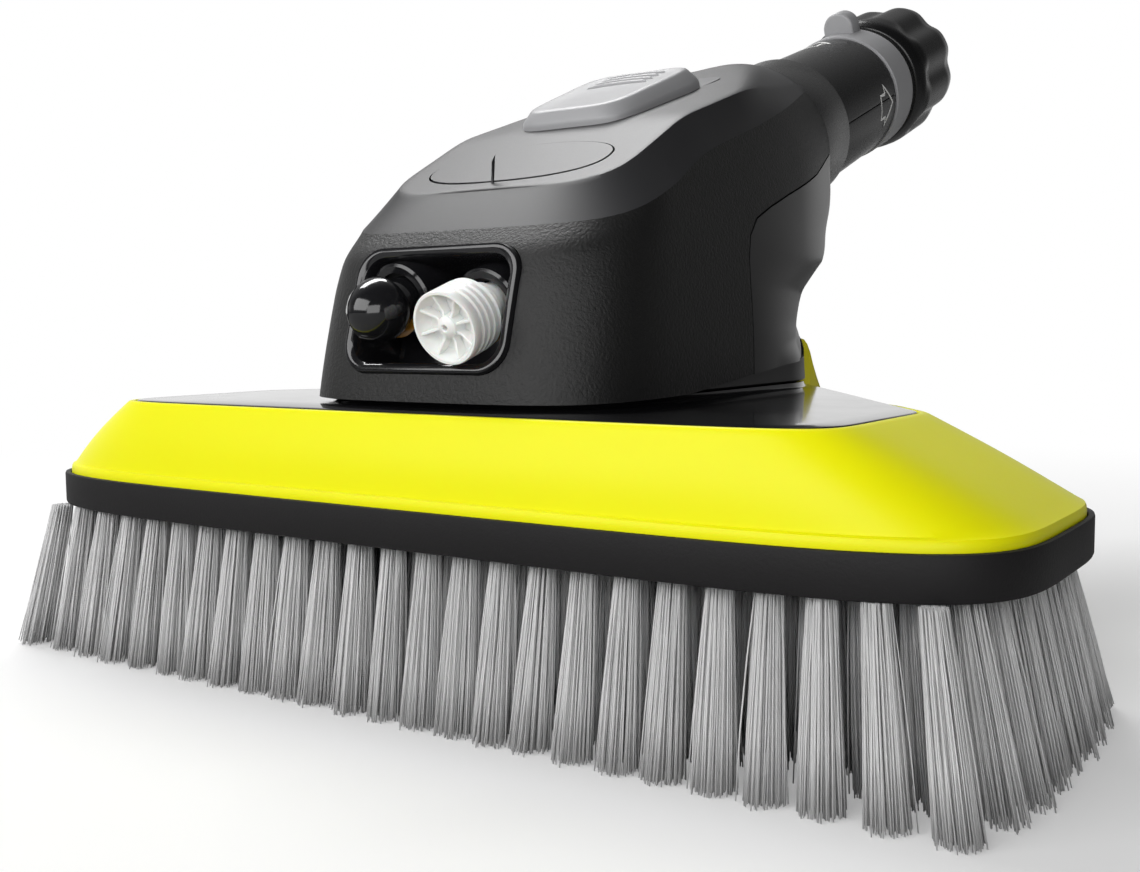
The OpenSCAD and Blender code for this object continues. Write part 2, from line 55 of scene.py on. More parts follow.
# Lines of the design, seen from the side, in millimetres: (y, z) pairs.
ROOF_LINE = ((-40, 86), (-6, 104), (25, 120.5), (60, 132), (111, 148.5), (190, 174))
HEM_LINE = ((-60, 60.2), (10, 61.6), (39, 64.6), (58, 66), (76, 66.8), (84, 71), (90, 73.3), (190, 73.3))
SEAM_LINE = ((38.5, 50), (39.3, 84), (39.8, 90), (41.8, 95.5), (46.4, 99.6), (55, 102.8), (67, 106.5),
             (94, 114), (118, 122.1), (170, 138))
# Nearest and farthest y of the housing against height.
FRONT_LINE = ((50, -29), (60, -28), (67, -26.3), (85, -21.5), (92, -18.5), (96, -13), (175, 30))
REAR_LINE = ((50, 104), (73, 106), (79, 107.2), (84, 110.9), (90, 117.6), (94, 123.9), (101, 127),
             (106, 134), (115, 142), (175, 150))
FRONT_MID, REAR_MID = 12, 40
# Exponent of the rear plan against height: an ellipse at the waist, fuller above.
REAR_POWER = ((76, 2.0), (84, 2.1), (92, 2.6))
# Crown of the roof behind its break.
CROWN_LINE = ((20, 0), (45, 0.7), (63, 1.0), (80, 1.0), (105, 0.3))
# How far the neck reaches below its axis, against the distance in front of the rear rim.
NECK_DROP = ((0, 0), (6, 9), (15, 14), (35, 30), (75, 60), (170, 120))
NECK_FLARE = 0.28


# ------------------------------------------------------------------- arithmetic

def lookup(x, table):
    """Height of a broken line at x, level beyond its ends."""
    if x <= table[0][0]:
        return table[0][1]
    for (x0, y0), (x1, y1) in zip(table, table[1:]):
        if x <= x1:
            return y0 + (y1 - y0) * (x - x0) / (x1 - x0)
    return table[-1][1]


def ease(x, lo, hi):
    """0 below lo, 1 above hi, and an S between them."""
    t = min(max((x - lo) / (hi - lo), 0), 1)
    return t * t * (3 - 2 * t)


def mix(a, b, t):
    return a + (b - a) * t


def soft_min(a, b, k):
    """The smaller of two lengths, rounded over a reach of k."""
    h = max(k - abs(a - b), 0) / k
    return min(a, b) - h * h * k / 4


def power(v, p):
    return math.copysign(abs(v) ** p, v)


def superellipse(t, rx, ry, nx, ny, cy=0.0):
    """Point of a superellipse at angle t, with an exponent for each axis."""
    return rx * power(math.cos(t), 2 / nx), cy + ry * power(math.sin(t), 2 / ny)


def polar_superellipse(a, rx, ry, n, cy):
    c, s = math.cos(a), math.sin(a)
    r = (abs(c / rx) ** n + abs(s / ry) ** n) ** (-1 / n)
    return r * c, cy + r * s


# ------------------------------------------------------------------ mesh helpers

def sheet(cols, rows, place):
    """A grid of quads whose corners place(u, v) sets; its two side edges are welded where they meet."""
    bm = bmesh.new()
    bmesh.ops.create_grid(bm, x_segments=cols, y_segments=rows, size=0.5)
    for v in bm.verts:
        v.co = place(v.co.x + 0.5, v.co.y + 0.5)
    bmesh.ops.remove_doubles(bm, verts=bm.verts, dist=1e-4)
    return bm


def cut_off(bm, point, normal):
    """Cuts away what lies beyond a plane, on the side its normal points to."""
    bmesh.ops.bisect_plane(bm, geom=bm.verts[:] + bm.edges[:] + bm.faces[:], dist=1e-4,
                           plane_co=point, plane_no=normal, clear_outer=True)
    return bm


def closed(bm):
    """Fills open ends and turns every face outwards."""
    rim = [e for e in bm.edges if e.is_boundary]
    if rim:
        bmesh.ops.holes_fill(bm, edges=rim, sides=0)
    bmesh.ops.recalc_face_normals(bm, faces=bm.faces)
    return bm


def band(cols, rings):
    """A closed body through rings; each ring is a function of u that gives a point."""
    last = len(rings) - 1
    return closed(sheet(cols, last, lambda u, v: rings[round(v * last)](u)))


def turned(profile, steps=96, angle=math.tau):
    """A profile of (radius, height) pairs turned about local Z."""
    bm = bmesh.new()
    verts = [bm.verts.new((r, 0, z)) for r, z in profile]
    edges = [bm.edges.new(pair) for pair in zip(verts, verts[1:])]
    full = angle == math.tau
    bmesh.ops.spin(bm, geom=verts + edges, axis=(0, 0, 1), cent=(0, 0, 0), angle=angle, steps=steps,
                   use_merge=full)
    bmesh.ops.remove_doubles(bm, verts=bm.verts, dist=1e-4)
    return closed(bm)


def prism(outline, z0, z1):
    """A flat outline of (x, y) pairs raised from z0 to z1."""
    bm = bmesh.new()
    face = bm.faces.new([bm.verts.new((x, y, z0)) for x, y in outline])
    made = bmesh.ops.extrude_face_region(bm, geom=[face])
    top = [g for g in made["geom"] if isinstance(g, bmesh.types.BMVert)]
    bmesh.ops.translate(bm, verts=top, vec=(0, 0, z1 - z0))
    return closed(bm)


def block(x0, x1, y0, y1, z0, z1):
    return prism([(x0, y0), (x1, y0), (x1, y1), (x0, y1)], z0, z1)


def soften(bm, width, limit=30, segments=2):
    """Rounds every edge that is sharper than limit degrees."""
    sharp = [e for e in bm.edges if len(e.link_faces) == 2 and e.calc_face_angle(0) > math.radians(limit)]
    bmesh.ops.bevel(bm, geom=sharp, offset=width, affect="EDGES", segments=segments, profile=0.5,
                    material=-1, clamp_overlap=True)
    return bm


def joined(*parts):
    """Several meshes as one."""
    bm = bmesh.new()
    for part in parts:
        scratch = bpy.data.meshes.new("scratch")
        part.to_mesh(scratch)
        part.free()
        bm.from_mesh(scratch)
        bpy.data.meshes.remove(scratch)
    return bm


def moved(bm, matrix):
    bmesh.ops.transform(bm, matrix=matrix, verts=bm.verts)
    return bm


def shifted(x, y, z):
    return Matrix.Translation((x, y, z))


def spun(degrees, axis="Z"):
    return Matrix.Rotation(math.radians(degrees), 4, axis)


SHARP = 35  # degrees from which an edge is drawn crisp


def piece(name, bm, body, material, nodes=(), matrix=None, sharp=SHARP):
    """Makes a mesh in millimetres into a piece that rides on a body and takes a finish."""
    moved(bm, Matrix.Scale(MM, 4) @ (matrix or Matrix()))
    mesh = bpy.data.meshes.new(name)
    bm.to_mesh(mesh)
    bm.free()
    mesh.polygons.foreach_set("use_smooth", [True] * len(mesh.polygons))
    mesh.set_sharp_from_angle(angle=math.radians(sharp))
    obj = bpy.data.objects.new(name, mesh)
    bpy.context.scene.collection.objects.link(obj)
    mesh.materials.append(material)
    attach(obj, body)
    if nodes:
        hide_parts(*nodes)
    return obj


def applied(obj):
    """Bakes the modifiers of a piece into its mesh."""
    graph = bpy.context.evaluated_depsgraph_get()
    graph.update()
    mesh = bpy.data.meshes.new_from_object(obj.evaluated_get(graph))
    old = obj.data
    obj.modifiers.clear()
    obj.data = mesh
    bpy.data.meshes.remove(old)
    mesh.name = obj.name
    mesh.set_sharp_from_angle(angle=math.radians(SHARP))
    return obj


def thicken(obj, thickness):
    """Gives an open skin a wall on its inner side."""
    wall = obj.modifiers.new("wall", "SOLIDIFY")
    wall.thickness = thickness * MM
    wall.offset = -1
    wall.use_even_offset = True
    wall.use_quality_normals = True
    return applied(obj)


def pairs_round(points):
    return zip(points, points[1:] + points[:1])


def score(bm, outline, to_3d, sweep, keep, reach=5.0):
    """Cuts a skin along a flat outline swept straight through it, where keep(point) is true."""
    for a, b in outline:
        p, q = to_3d(a), to_3d(b)
        middle, half = (p + q) / 2, (q - p).length / 2
        faces = []
        for f in bm.faces:
            c = f.calc_center_median()
            flat = (c - middle) - sweep * (c - middle).dot(sweep)
            if flat.length < half + reach and keep(c):
                faces.append(f)
        around = {v for f in faces for v in f.verts} | {e for f in faces for e in f.edges} | set(faces)
        bmesh.ops.bisect_plane(bm, geom=list(around), dist=1e-4, plane_co=p,
                               plane_no=(q - p).cross(sweep).normalized())


def drop_faces(bm, unwanted):
    """Deletes the faces whose middle unwanted(point) names."""
    gone = [f for f in bm.faces if unwanted(f.calc_center_median())]
    bmesh.ops.delete(bm, geom=gone, context="FACES")
    return bm


def inside(point, outline):
    """Whether a flat point lies in a flat outline."""
    x, y = point
    odd = False
    for (x0, y0), (x1, y1) in pairs_round(list(outline)):
        if (y0 > y) != (y1 > y) and x < x0 + (x1 - x0) * (y - y0) / (y1 - y0):
            odd = not odd
    return odd


def round_rect(hw, hh, r, steps=8):
    """Rectangle with round corners, anticlockwise."""
    points = []
    for k, (sx, sy) in enumerate(((1, -1), (1, 1), (-1, 1), (-1, -1))):
        for i in range(steps + 1):
            a = math.pi / 2 * (k - 1 + i / steps)
            points.append((sx * (hw - r) + r * math.cos(a), sy * (hh - r) + r * math.sin(a)))
    return points


# --------------------------------------------------------------------- materials

def hex_linear(code):
    """An sRGB hex colour as linear light."""
    values = [int(code[i:i + 2], 16) / 255 for i in (1, 3, 5)]
    return tuple(v / 12.92 if v <= 0.04045 else ((v + 0.055) / 1.055) ** 2.4 for v in values) + (1.0,)


def add_node(tree, kind, settings=None, **links):
    """Adds a node; settings go to its attributes or sockets, links name a socket and its source."""
    n = tree.nodes.new(kind)
    for key, value in (settings or {}).items():
        if hasattr(n, key):
            setattr(n, key, value)
        else:
            n.inputs[key].default_value = value
    for key, source in links.items():
        socket = next(s for s in n.inputs if s.name.replace(" ", "_").lower() == key and s.enabled)
        tree.links.new(source, socket)
    return n


ROUGH_SPREAD = 0.08


def plastic(name, colour, roughness, grain_mm, grain_depth_mm, mottle, coat=0.0, ior=1.5,
            subsurface=0.0, transmission=0.0, metallic=0.0, specular=0.5, stretch=(1, 1, 1)):
    """A finish with a fine grain in its surface and a slight unevenness in colour and gloss.

    grain_mm is the size of one grain, grain_depth_mm how deep it stands."""
    mat = bpy.data.materials.new(name)
    mat.use_nodes = True
    tree = mat.node_tree
    tree.nodes.clear()
    place = add_node(tree, "ShaderNodeTexCoord").outputs["Object"]
    place = add_node(tree, "ShaderNodeMapping", {"Scale": stretch}, vector=place).outputs["Vector"]
    grain = add_node(tree, "ShaderNodeTexNoise",
                     {"Scale": 1 / (grain_mm * MM), "Detail": 3.0, "Roughness": 0.6}, vector=place)
    cloud = add_node(tree, "ShaderNodeTexNoise", {"Scale": 1 / (25 * MM), "Detail": 3.0}, vector=place)
    dark = tuple(c * (1 - mottle) for c in colour[:3]) + (1.0,)
    light = tuple(min(c * (1 + mottle), 1.0) for c in colour[:3]) + (1.0,)
    ramp = add_node(tree, "ShaderNodeMix", {"data_type": "RGBA"})
    ramp.inputs[6].default_value = dark
    ramp.inputs[7].default_value = light
    tree.links.new(cloud.outputs["Fac"], ramp.inputs[0])
    gloss = add_node(tree, "ShaderNodeMapRange", {"To Min": roughness - ROUGH_SPREAD / 2,
                                                  "To Max": roughness + ROUGH_SPREAD / 2},
                     value=grain.outputs["Fac"])
    bump = add_node(tree, "ShaderNodeBump", {"Strength": 1.0, "Distance": grain_depth_mm * MM},
                    height=grain.outputs["Fac"])
    shader = add_node(tree, "ShaderNodeBsdfPrincipled",
                      {"IOR": ior, "Metallic": metallic, "Coat Weight": coat, "Coat Roughness": 0.05,
                       "Subsurface Weight": subsurface, "Subsurface Scale": 2 * MM,
                       "Transmission Weight": transmission, "Specular IOR Level": specular},
                      base_color=ramp.outputs[2], roughness=gloss.outputs["Result"],
                      normal=bump.outputs["Normal"])
    out = add_node(tree, "ShaderNodeOutputMaterial", surface=shader.outputs["BSDF"])
    out.target = "ALL"
    return mat


def translucent(mat, colour, share):
    """Lets a share of the light through to the far side of a thin strand."""
    tree = mat.node_tree
    through = add_node(tree, "ShaderNodeBsdfTranslucent", {"Color": tuple(colour)})
    both = add_node(tree, "ShaderNodeMixShader", {"Fac": share})
    tree.links.new(tree.nodes["Principled BSDF"].outputs["BSDF"], both.inputs[1])
    tree.links.new(through.outputs["BSDF"], both.inputs[2])
    tree.links.new(both.outputs["Shader"], tree.nodes["Material Output"].inputs["Surface"])
    return mat


class Finishes:
    """Every material, made once and kept by name."""

    def __init__(self, colours):
        # Moulded polypropylene with a bright polish: soft reflections, strong body colour.
        self.yellow = plastic("yellow_polypropylene_gloss", colours.cover, 0.38, 1.2, 0.004, 0.015,
                              subsurface=0.08, specular=0.2)
        # The same plastic, a little deeper in colour on the thin lever.
        self.lever = plastic("yellow_polypropylene_lever", colours.lever, 0.3, 1.2, 0.004, 0.02)
        # Spark-eroded ABS: a coarse leathery grain that breaks every highlight up.
        self.textured = plastic("spark_eroded_abs", colours.textured, 0.5, 0.7, 0.2, 0.1, specular=0.35)
        # Block plastic with a finer, shallower erosion grain.
        self.rim = plastic("fine_grain_polypropylene", colours.rim, 0.55, 0.5, 0.05, 0.08, specular=0.2)
        # Satin ABS from a vapour-blasted tool: broad soft sheen without visible grain.
        self.satin = plastic("vapour_blasted_abs", colours.satin, 0.36, 0.35, 0.006, 0.05)
        self.top = plastic("vapour_blasted_abs_top", colours.top, 0.45, 0.35, 0.006, 0.05)
        # High-gloss ABS inlay: mirror-like with a faint waviness from moulding.
        self.gloss = plastic("piano_gloss_abs", colours.gloss, 0.13, 9.0, 0.02, 0.05, coat=0.3)
        self.tube = plastic("polished_glass_filled_nylon", colours.tube, 0.28, 0.8, 0.006, 0.05)
        self.grey = plastic("grey_abs_satin", colours.grey, 0.42, 0.4, 0.008, 0.03)
        # Acetal: dense white, slightly waxy.
        self.white = plastic("natural_acetal", colours.white, 0.32, 0.8, 0.004, 0.01, subsurface=0.15)
        # Yellow plastic set back behind the nozzles, its colour darkened to amber as painted shade; a little
        # light passes through it.
        self.shaded_yellow = plastic("amber_polyetherimide", colours.shaded_yellow, 0.15, 3.0, 0.004, 0.1, transmission=0.25,
                             ior=1.66)
        # Nylon filament: milky, with a thin bright edge along each strand.
        self.filament = translucent(plastic("nylon_filament", colours.filament, 0.34, 0.9, 0.004, 0.1,
                                            stretch=(1, 1, 0.05)), colours.filament, 0.45)
        self.rubber = plastic("nitrile_rubber", colours.rubber, 0.55, 0.5, 0.01, 0.05)
        self.inner = plastic("unpolished_nylon", colours.inner, 0.45, 0.6, 0.02, 0.06)
        # Zinc-plated steel wire and screws.
        self.steel = plastic("zinc_plated_steel", colours.steel, 0.3, 0.3, 0.004, 0.04, metallic=1.0)
        # Pad-printed ink, thin and matt.
        self.ink = plastic("pad_print_ink", colours.white, 0.5, 0.4, 0.004, 0.02)


def colour_property(name, description, code):
    return FloatVectorProperty(name=name, description=description, size=4, subtype="COLOR", min=0, max=1,
                               default=hex_linear(code))


class BrushColours(bpy.types.PropertyGroup):
    """Body colours of the finishes."""
    cover: colour_property("Cover", "Head cover", "#ECEA08")
    lever: colour_property("Lever", "Release lever", "#DDD31C")
    textured: colour_property("Front housing", "Grained front housing", "#191919")
    rim: colour_property("Rim", "Bristle block", "#1C1B1C")
    satin: colour_property("Rear cover", "Smooth housing parts", "#1C1C1D")
    top: colour_property("Top cover", "Smooth top of the housing", "#262628")
    gloss: colour_property("Inlay", "Glossy deck inlay and window frame", "#18181A")
    tube: colour_property("Lance", "Lance tube and grip cap", "#111112")
    grey: colour_property("Grey parts", "Mode slider and selector ring", "#9A9A9C")
    white: colour_property("White parts", "Foam nozzle", "#F1F1EF")
    # The amber colour is painted shade: yellow plastic deep in the nozzle window, darkened.
    shaded_yellow: colour_property("Amber parts", "Nozzle carrier", "#A8741C")
    filament: colour_property("Filament", "Bristles", "#FDFDFD")
    rubber: colour_property("Rubber", "Seal rings", "#141414")
    inner: colour_property("Inner parts", "Hidden valve and pipe", "#3A3A3E")
    steel: colour_property("Steel", "Pin, spring and screws", "#C8C8C6")


def size_property(name, description, mm):
    return FloatProperty(name=name, description=description, default=mm, min=0.01, soft_max=400)


class BrushSizes(bpy.types.PropertyGroup):
    """Driving sizes, in millimetres."""
    rim_a: size_property("Half rim length", "Half the length of the bristle block", 118)
    rim_b: size_property("Half rim width", "Half the width of the bristle block", 42)
    rim_z: size_property("Bristle length", "Height of the block's underside", 33.8)
    rim_top: size_property("Rim top", "Height of the rim's upper edge", 41.5)
    deck_a: size_property("Half deck length", "Half the length of the deck", 89.4)
    deck_z: size_property("Deck height", "Height of the deck's edge", 59.2)
    body_hw: size_property("Half housing width", "Half the width of the housing at its foot", 40.5)
    wall: size_property("Shell wall", "Wall of the housing shells", 2.2)
    chamfer_w: size_property("Chamfer width", "Width of the chamfer round the top", 5)
    chamfer_h: size_property("Chamfer height", "Height of the chamfer round the top", 8.5)
    tilt: size_property("Lance tilt", "Upward tilt of the lance in degrees", 19.535)
    tube_r: size_property("Tube radius", "Radius of the lance tube", 20)
    rim_r: size_property("Neck radius", "Radius of the housing's rear rim", 24)
    filament_r: size_property("Filament radius", "Radius of one bristle", 0.15)
    tuft_count: IntProperty(name="Tufts", description="Tufts along a full row", default=27, min=3)
    outer_filaments: IntProperty(name="Filaments, outer", description="Bristles in an outer tuft",
                                 default=150)
    inner_filaments: IntProperty(name="Filaments, inner", description="Bristles in an inner tuft",
                                 default=80)


def settings():
    return bpy.context.scene.brush_sizes


def finishes():
    """The materials, made at the first call."""
    if "kept" not in finishes.__dict__:
        finishes.kept = Finishes(bpy.context.scene.brush_colours)
    return finishes.kept


# --------------------------------------------------------------- shapes of the head

def rim_point(u, inset, z):
    s = settings()
    x, y = superellipse(math.tau * u + 1e-4, s.rim_a - inset, s.rim_b - inset, 5.9, 4.25)
    return Vector((x, y, z))


# Deck outline of the tail, right side: x and y against the angle in degrees.
TAIL_X = ((0, 89.4), (12, 88.6), (30, 77.5), (45, 64.8), (55, 55.8), (62, 48.1), (70, 37), (76, 28.5),
          (83, 15), (90, 0))
TAIL_Y = ((0, 8), (12, 14), (30, 29.2), (45, 41.2), (55, 51), (62, 58.3), (70, 76), (76, 89), (83, 99.2),
          (90, 102.5))
DECK_MID, DECK_FRONT = 8, 44


def smooth_lookup(x, table, reach=4.0):
    """A broken line with its corners averaged away."""
    return sum(lookup(x + reach * k / 4, table) for k in range(-4, 5)) / 9


def deck_outline(u):
    """Plan of the deck: straight front with tight round ends, and a tail that narrows to the foot."""
    s = settings()
    t = math.tau * (u % 1.0) + 1e-4
    if t > math.pi:
        return superellipse(t, s.deck_a * (1 + 0.02 * abs(math.sin(t))), DECK_FRONT, 9, 9, DECK_MID)
    deg = math.degrees(t)
    m = min(deg, 180 - deg)
    reach = 4.0 * ease(m, 0, 6) * ease(90 - m, 0, 6) + 1e-6
    x = smooth_lookup(m, TAIL_X, reach) * s.deck_a / TAIL_X[0][1]
    return math.copysign(x, 90 - deg), smooth_lookup(m, TAIL_Y, reach)


def deck_point(u, inset, z):
    """Point of the deck outline, moved inwards along its normal."""
    x0, y0 = deck_outline(u - 0.002)
    x1, y1 = deck_outline(u + 0.002)
    x, y = deck_outline(u)
    length = math.hypot(x1 - x0, y1 - y0)
    return Vector((x - inset * (y1 - y0) / length, y + inset * (x1 - x0) / length, z))


FOOT_R, LEVER_MID = 36.5, 66


def pedestal_point(u, grow, z):
    """Plan of the foot: blunt in front and a half circle about the middle of the lever behind."""
    r = FOOT_R + grow
    turn, flank = 0.4, 0.1
    if u <= turn:
        x, y = polar_superellipse(math.pi * (1 + u / turn), r, r - 1, 4, FRONT_MID)
    elif u <= turn + flank:
        x, y = r, mix(FRONT_MID, LEVER_MID, (u - turn) / flank)
    elif u <= 2 * turn + flank:
        a = math.pi * (u - turn - flank) / turn
        x, y = r * math.cos(a), LEVER_MID + r * math.sin(a)
    else:
        x, y = -r, mix(LEVER_MID, FRONT_MID, (u - 2 * turn - flank) / flank)
    return Vector((x, y, z))


def cover_point(u, rise, z):
    """Between the rim and the deck outline; behind the block the tail keeps its plan to its lower edge."""
    low, high = rim_point(u, 2.2, z), deck_point(u, 0, z)
    tail = min(max((high.y - 22) / 26, 0), 1)
    bulge = 0.9 * math.sin(math.pi * rise) * (1 - tail)
    g = rise + (1 - rise) * tail if rise > 0.6 else rise * (1 + 0.39 * tail)
    p = low.lerp(high, min(g, 1))
    out = Vector((low.x / 118, low.y / 42, 0)).normalized()
    p += out * bulge
    p.z = z
    return p


def foot_point(u, grow, z):
    """Point of the foot in the direction that the deck outline has at u."""
    return pedestal_point((u + 0.5) % 1.0, grow, z)


def rim_bands():
    s = settings()
    z0, z1 = s.rim_z, s.rim_top
    steps = ((9, z0), (0.7, z0), (0.2, z0 + 0.2), (0, z0 + 0.7), (0, z1 - 0.5), (0.12, z1 - 0.12), (0.4, z1),
             (0.9, z1), (1.15, z1 - 0.2), (1.2, z1 - 0.5), (1.2, z1 - 1.2), (9, z1 - 1.2))
    return [lambda u, i=i, z=z: rim_point(u, i, z) for i, z in steps]


def cover_bands():
    s = settings()
    seat, edge, top = s.rim_top - 1.2, s.rim_top + 2.2, s.deck_z
    rings = [lambda u: rim_point(u, 4, seat), lambda u: rim_point(u, 1.5, seat)]
    for k in range(4):
        rings.append(lambda u, k=k: rim_point(u, 1.3 + 0.1 * (k == 3), mix(seat + 0.3, edge - 0.8, k / 3)))
    rings.append(lambda u: rim_point(u, 1.6, edge - 0.35))
    rings.append(lambda u: cover_point(u, 0.0, edge))
    tail_edge = top - 4.4
    for k in range(1, 13):
        f = k / 12
        rings.append(lambda u, f=f: cover_point(u, 0.72 * f, mix(edge, tail_edge, f)))
    for k in range(1, 5):
        f = k / 4
        rings.append(lambda u, f=f: cover_point(u, mix(0.72, 0.985, f), mix(tail_edge, top - 0.3, f)))
    rings.append(lambda u: deck_point(u, 0.1, top - 0.08))
    rings.append(lambda u: deck_point(u, 0.4, top))
    rings.append(lambda u: deck_point(u, 1.15, top))
    rings.append(lambda u: deck_point(u, 1.45, top - 0.3))
    rings.append(lambda u: deck_point(u, 1.5, top - 1.7))
    rings.append(lambda u: deck_point(u, 4, top - 1.7))
    return rings


def deck_bands():
    s = settings()
    top = s.deck_z
    rings = [lambda u: deck_point(u, 4, top - 1.6), lambda u: deck_point(u, 1.9, top - 1.6),
             lambda u: deck_point(u, 1.85, top - 0.1), lambda u: deck_point(u, 2.0, top + 0.1),
             lambda u: deck_point(u, 2.4, top + 0.2)]
    for k in range(1, 11):
        f = k / 10
        rings.append(lambda u, f=f: deck_point(u, 2.4, 0).lerp(foot_point(u, 2.0, 0), f)
                     + Vector((0, 0, top + 0.2 + 0.5 * math.sin(math.pi / 2 * f))))
    for k in range(1, 5):
        a = math.pi / 2 * k / 4
        rings.append(lambda u, a=a: foot_point(u, 2.0 - 1.6 * math.sin(a),
                                               top + 0.7 + 1.3 * (1 - math.cos(a))))
    return rings


class BRUSH_OT_head(bpy.types.Operator):
    """Bristle block, head cover and deck inlay"""
    bl_idname = "wash_brush.head"
    bl_label = "Brush head"

    def execute(self, context):
        f = finishes()
        piece("rim_band", band(288, rim_bands()), HEAD, f.rim, ["bristle_block"])
        piece("cover_shell", band(360, cover_bands()), HEAD, f.yellow, ["head_cover"])
        piece("deck_inlay", band(360, deck_bands()), HEAD, f.gloss, ["deck_plate"])
        return {"FINISHED"}


# -------------------------------------------------------------------------- bristles

ROOT_R, TIP_R, ROOT_REACH, ROW_PITCH, ROWS = 2.4, 4.05, 110, 9, 9


def tuft_mesh(count, seed):
    """One bundle of filaments in millimetres, its roots at z = 1 and its tips near z = 0."""
    rng = random.Random(seed)
    s = settings()
    bm = bmesh.new()
    for k in range(count):
        spread = math.sqrt((k + 0.5) / count)
        angle = 2.39996 * k + rng.uniform(-0.25, 0.25)
        root = Vector((math.cos(angle), math.sin(angle))) * spread * ROOT_R
        tip = root * (TIP_R / ROOT_R) * rng.uniform(0.86, 1.06)
        tip += Vector((rng.gauss(0, 0.28), rng.gauss(0, 0.28)))
        bow = Vector((rng.gauss(0, 0.16), rng.gauss(0, 0.16)))
        short = rng.uniform(0, 0.022) + (0.03 if rng.random() < 0.06 else 0)
        twist = rng.uniform(0, math.tau)
        start = len(bm.verts)
        made = bmesh.ops.create_cone(bm, cap_ends=True, segments=3, radius1=s.filament_r,
                                     radius2=s.filament_r, depth=1)
        sides = list({e for v in made["verts"] for e in v.link_edges
                      if abs(e.verts[0].co.z - e.verts[1].co.z) > 0.5})
        bmesh.ops.subdivide_edges(bm, edges=sides, cuts=2)
        bm.verts.ensure_lookup_table()
        verts = bm.verts[start:]
        for v in verts:
            h = v.co.z + 0.5
            centre = tip.lerp(root, h ** 1.15) + bow * math.sin(math.pi * h)
            off = Vector((v.co.x, v.co.y))
            off.rotate(Matrix.Rotation(twist, 2))
            v.co = (centre.x + off.x, centre.y + off.y, short + (1 - short) * h)
    mesh = bpy.data.meshes.new("tuft")
    bm.to_mesh(mesh)
    bm.free()
    return mesh


def tuft_row(row, bundles, rng):
    """A row of tufts that lean outwards towards the edges of the block."""
    s = settings()
    y = (row - (ROWS + 1) / 2) * ROW_PITCH
    reach = ROOT_REACH - 3.4 * (abs(y) / 36) ** 4
    count = s.tuft_count - (2 if abs(y) > 30 else 0)
    dy = math.copysign(4.4 * (abs(y) / 36) ** 3, y)
    bm = bmesh.new()
    for i in range(count):
        x = -reach + 2 * reach * i / (count - 1)
        dx = math.copysign(7 * (abs(x) / ROOT_REACH) ** 5, x) + rng.gauss(0, 0.35)
        start = len(bm.verts)
        bm.from_mesh(rng.choice(bundles))
        bm.verts.ensure_lookup_table()
        turn = Matrix.Rotation(rng.uniform(0, math.tau), 3, "Z")
        wide = rng.uniform(0.93, 1.04)
        lean_y = dy + rng.gauss(0, 0.25)
        for v in bm.verts[start:]:
            q = turn @ v.co
            h = v.co.z
            v.co = (x + q.x * wide + dx * (1 - h), y + q.y + lean_y * (1 - h), max(h * s.rim_z, 0))
    return bm


class BRUSH_OT_bristles(bpy.types.Operator):
    """Nine rows of bristle tufts"""
    bl_idname = "wash_brush.bristles"
    bl_label = "Bristles"

    def execute(self, context):
        s = settings()
        rng = random.Random(11)
        outer = [tuft_mesh(s.outer_filaments, 20 + k) for k in range(4)]
        inner = [tuft_mesh(s.inner_filaments, 40 + k) for k in range(3)]
        for row in range(1, ROWS + 1):
            bundles = outer if row in (1, ROWS) else inner
            piece(f"bristles_{row}", tuft_row(row, bundles, rng), HEAD, finishes().filament,
                  [f"tuft_row_{row}"], sharp=180)
        for mesh in outer + inner:
            bpy.data.meshes.remove(mesh)
        return {"FINISHED"}


# ----------------------------------------------------------------------------- lever

LEVER_ARC, LEVER_HW = 92, 29.5


class BRUSH_OT_lever(bpy.types.Operator):
    """Release lever behind the foot"""
    bl_idname = "wash_brush.lever"
    bl_label = "Release lever"

    def execute(self, context):
        profile = [(37.1, 57.4), (38.5, 56.9), (45.4, 56.6), (46.7, 57.1), (46.2, 58.2), (44.2, 61.4),
                   (42.5, 64.6), (41.2, 67.6), (40.2, 70.2), (39.3, 71.4), (38.4, 71.7), (37.4, 71.4),
                   (37.1, 70.6), (37.1, 64), (37.1, 57.4)]
        skin = turned(profile, 48, math.radians(LEVER_ARC))
        moved(skin, shifted(0, LEVER_MID, 0) @ spun(90 - LEVER_ARC / 2))
        for side in (-1, 1):
            cut_off(skin, (side * LEVER_HW, 0, 0), (side, 0, 0))
            bmesh.ops.holes_fill(skin, edges=[e for e in skin.edges if e.is_boundary], sides=0)
        soften(skin, 0.7, 50, 3)
        # Takes a side outline, given as y and z, from the flat onto the plane it is seen in.
        upright = Matrix(((0, 0, 1, 0), (1, 0, 0, 0), (0, 1, 0, 0), (0, 0, 0, 1)))
        ears = []
        for side in (-1, 1):
            ear = prism([(100.4, 48.2), (101.4, 47.2), (106, 47.2), (107, 48.2), (108, 57), (103.5, 60),
                         (101.6, 58)], -2, 2)
            moved(ear, shifted(side * 17.6, 0, 0) @ upright)
            ears.append(soften(ear, 0.4))
        piece("lever_tab", joined(skin, *ears), LEVER, finishes().lever, ["release_lever"])
        return {"FINISHED"}


# --------------------------------------------------------------------------- housing

def lance_matrix(t=0.0):
    """Local Z runs up the lance, local Y points down, and t is measured from the selector ring."""
    return shifted(0, 183, 148.1) @ spun(settings().tilt - 90, "X") @ shifted(0, 0, t)


RIM_T, SEAM_T, CAP_START = -68.5, -45.4, 18.6


def side_width(z):
    return settings().body_hw - 0.0021 * max(z - 61, 0) ** 2


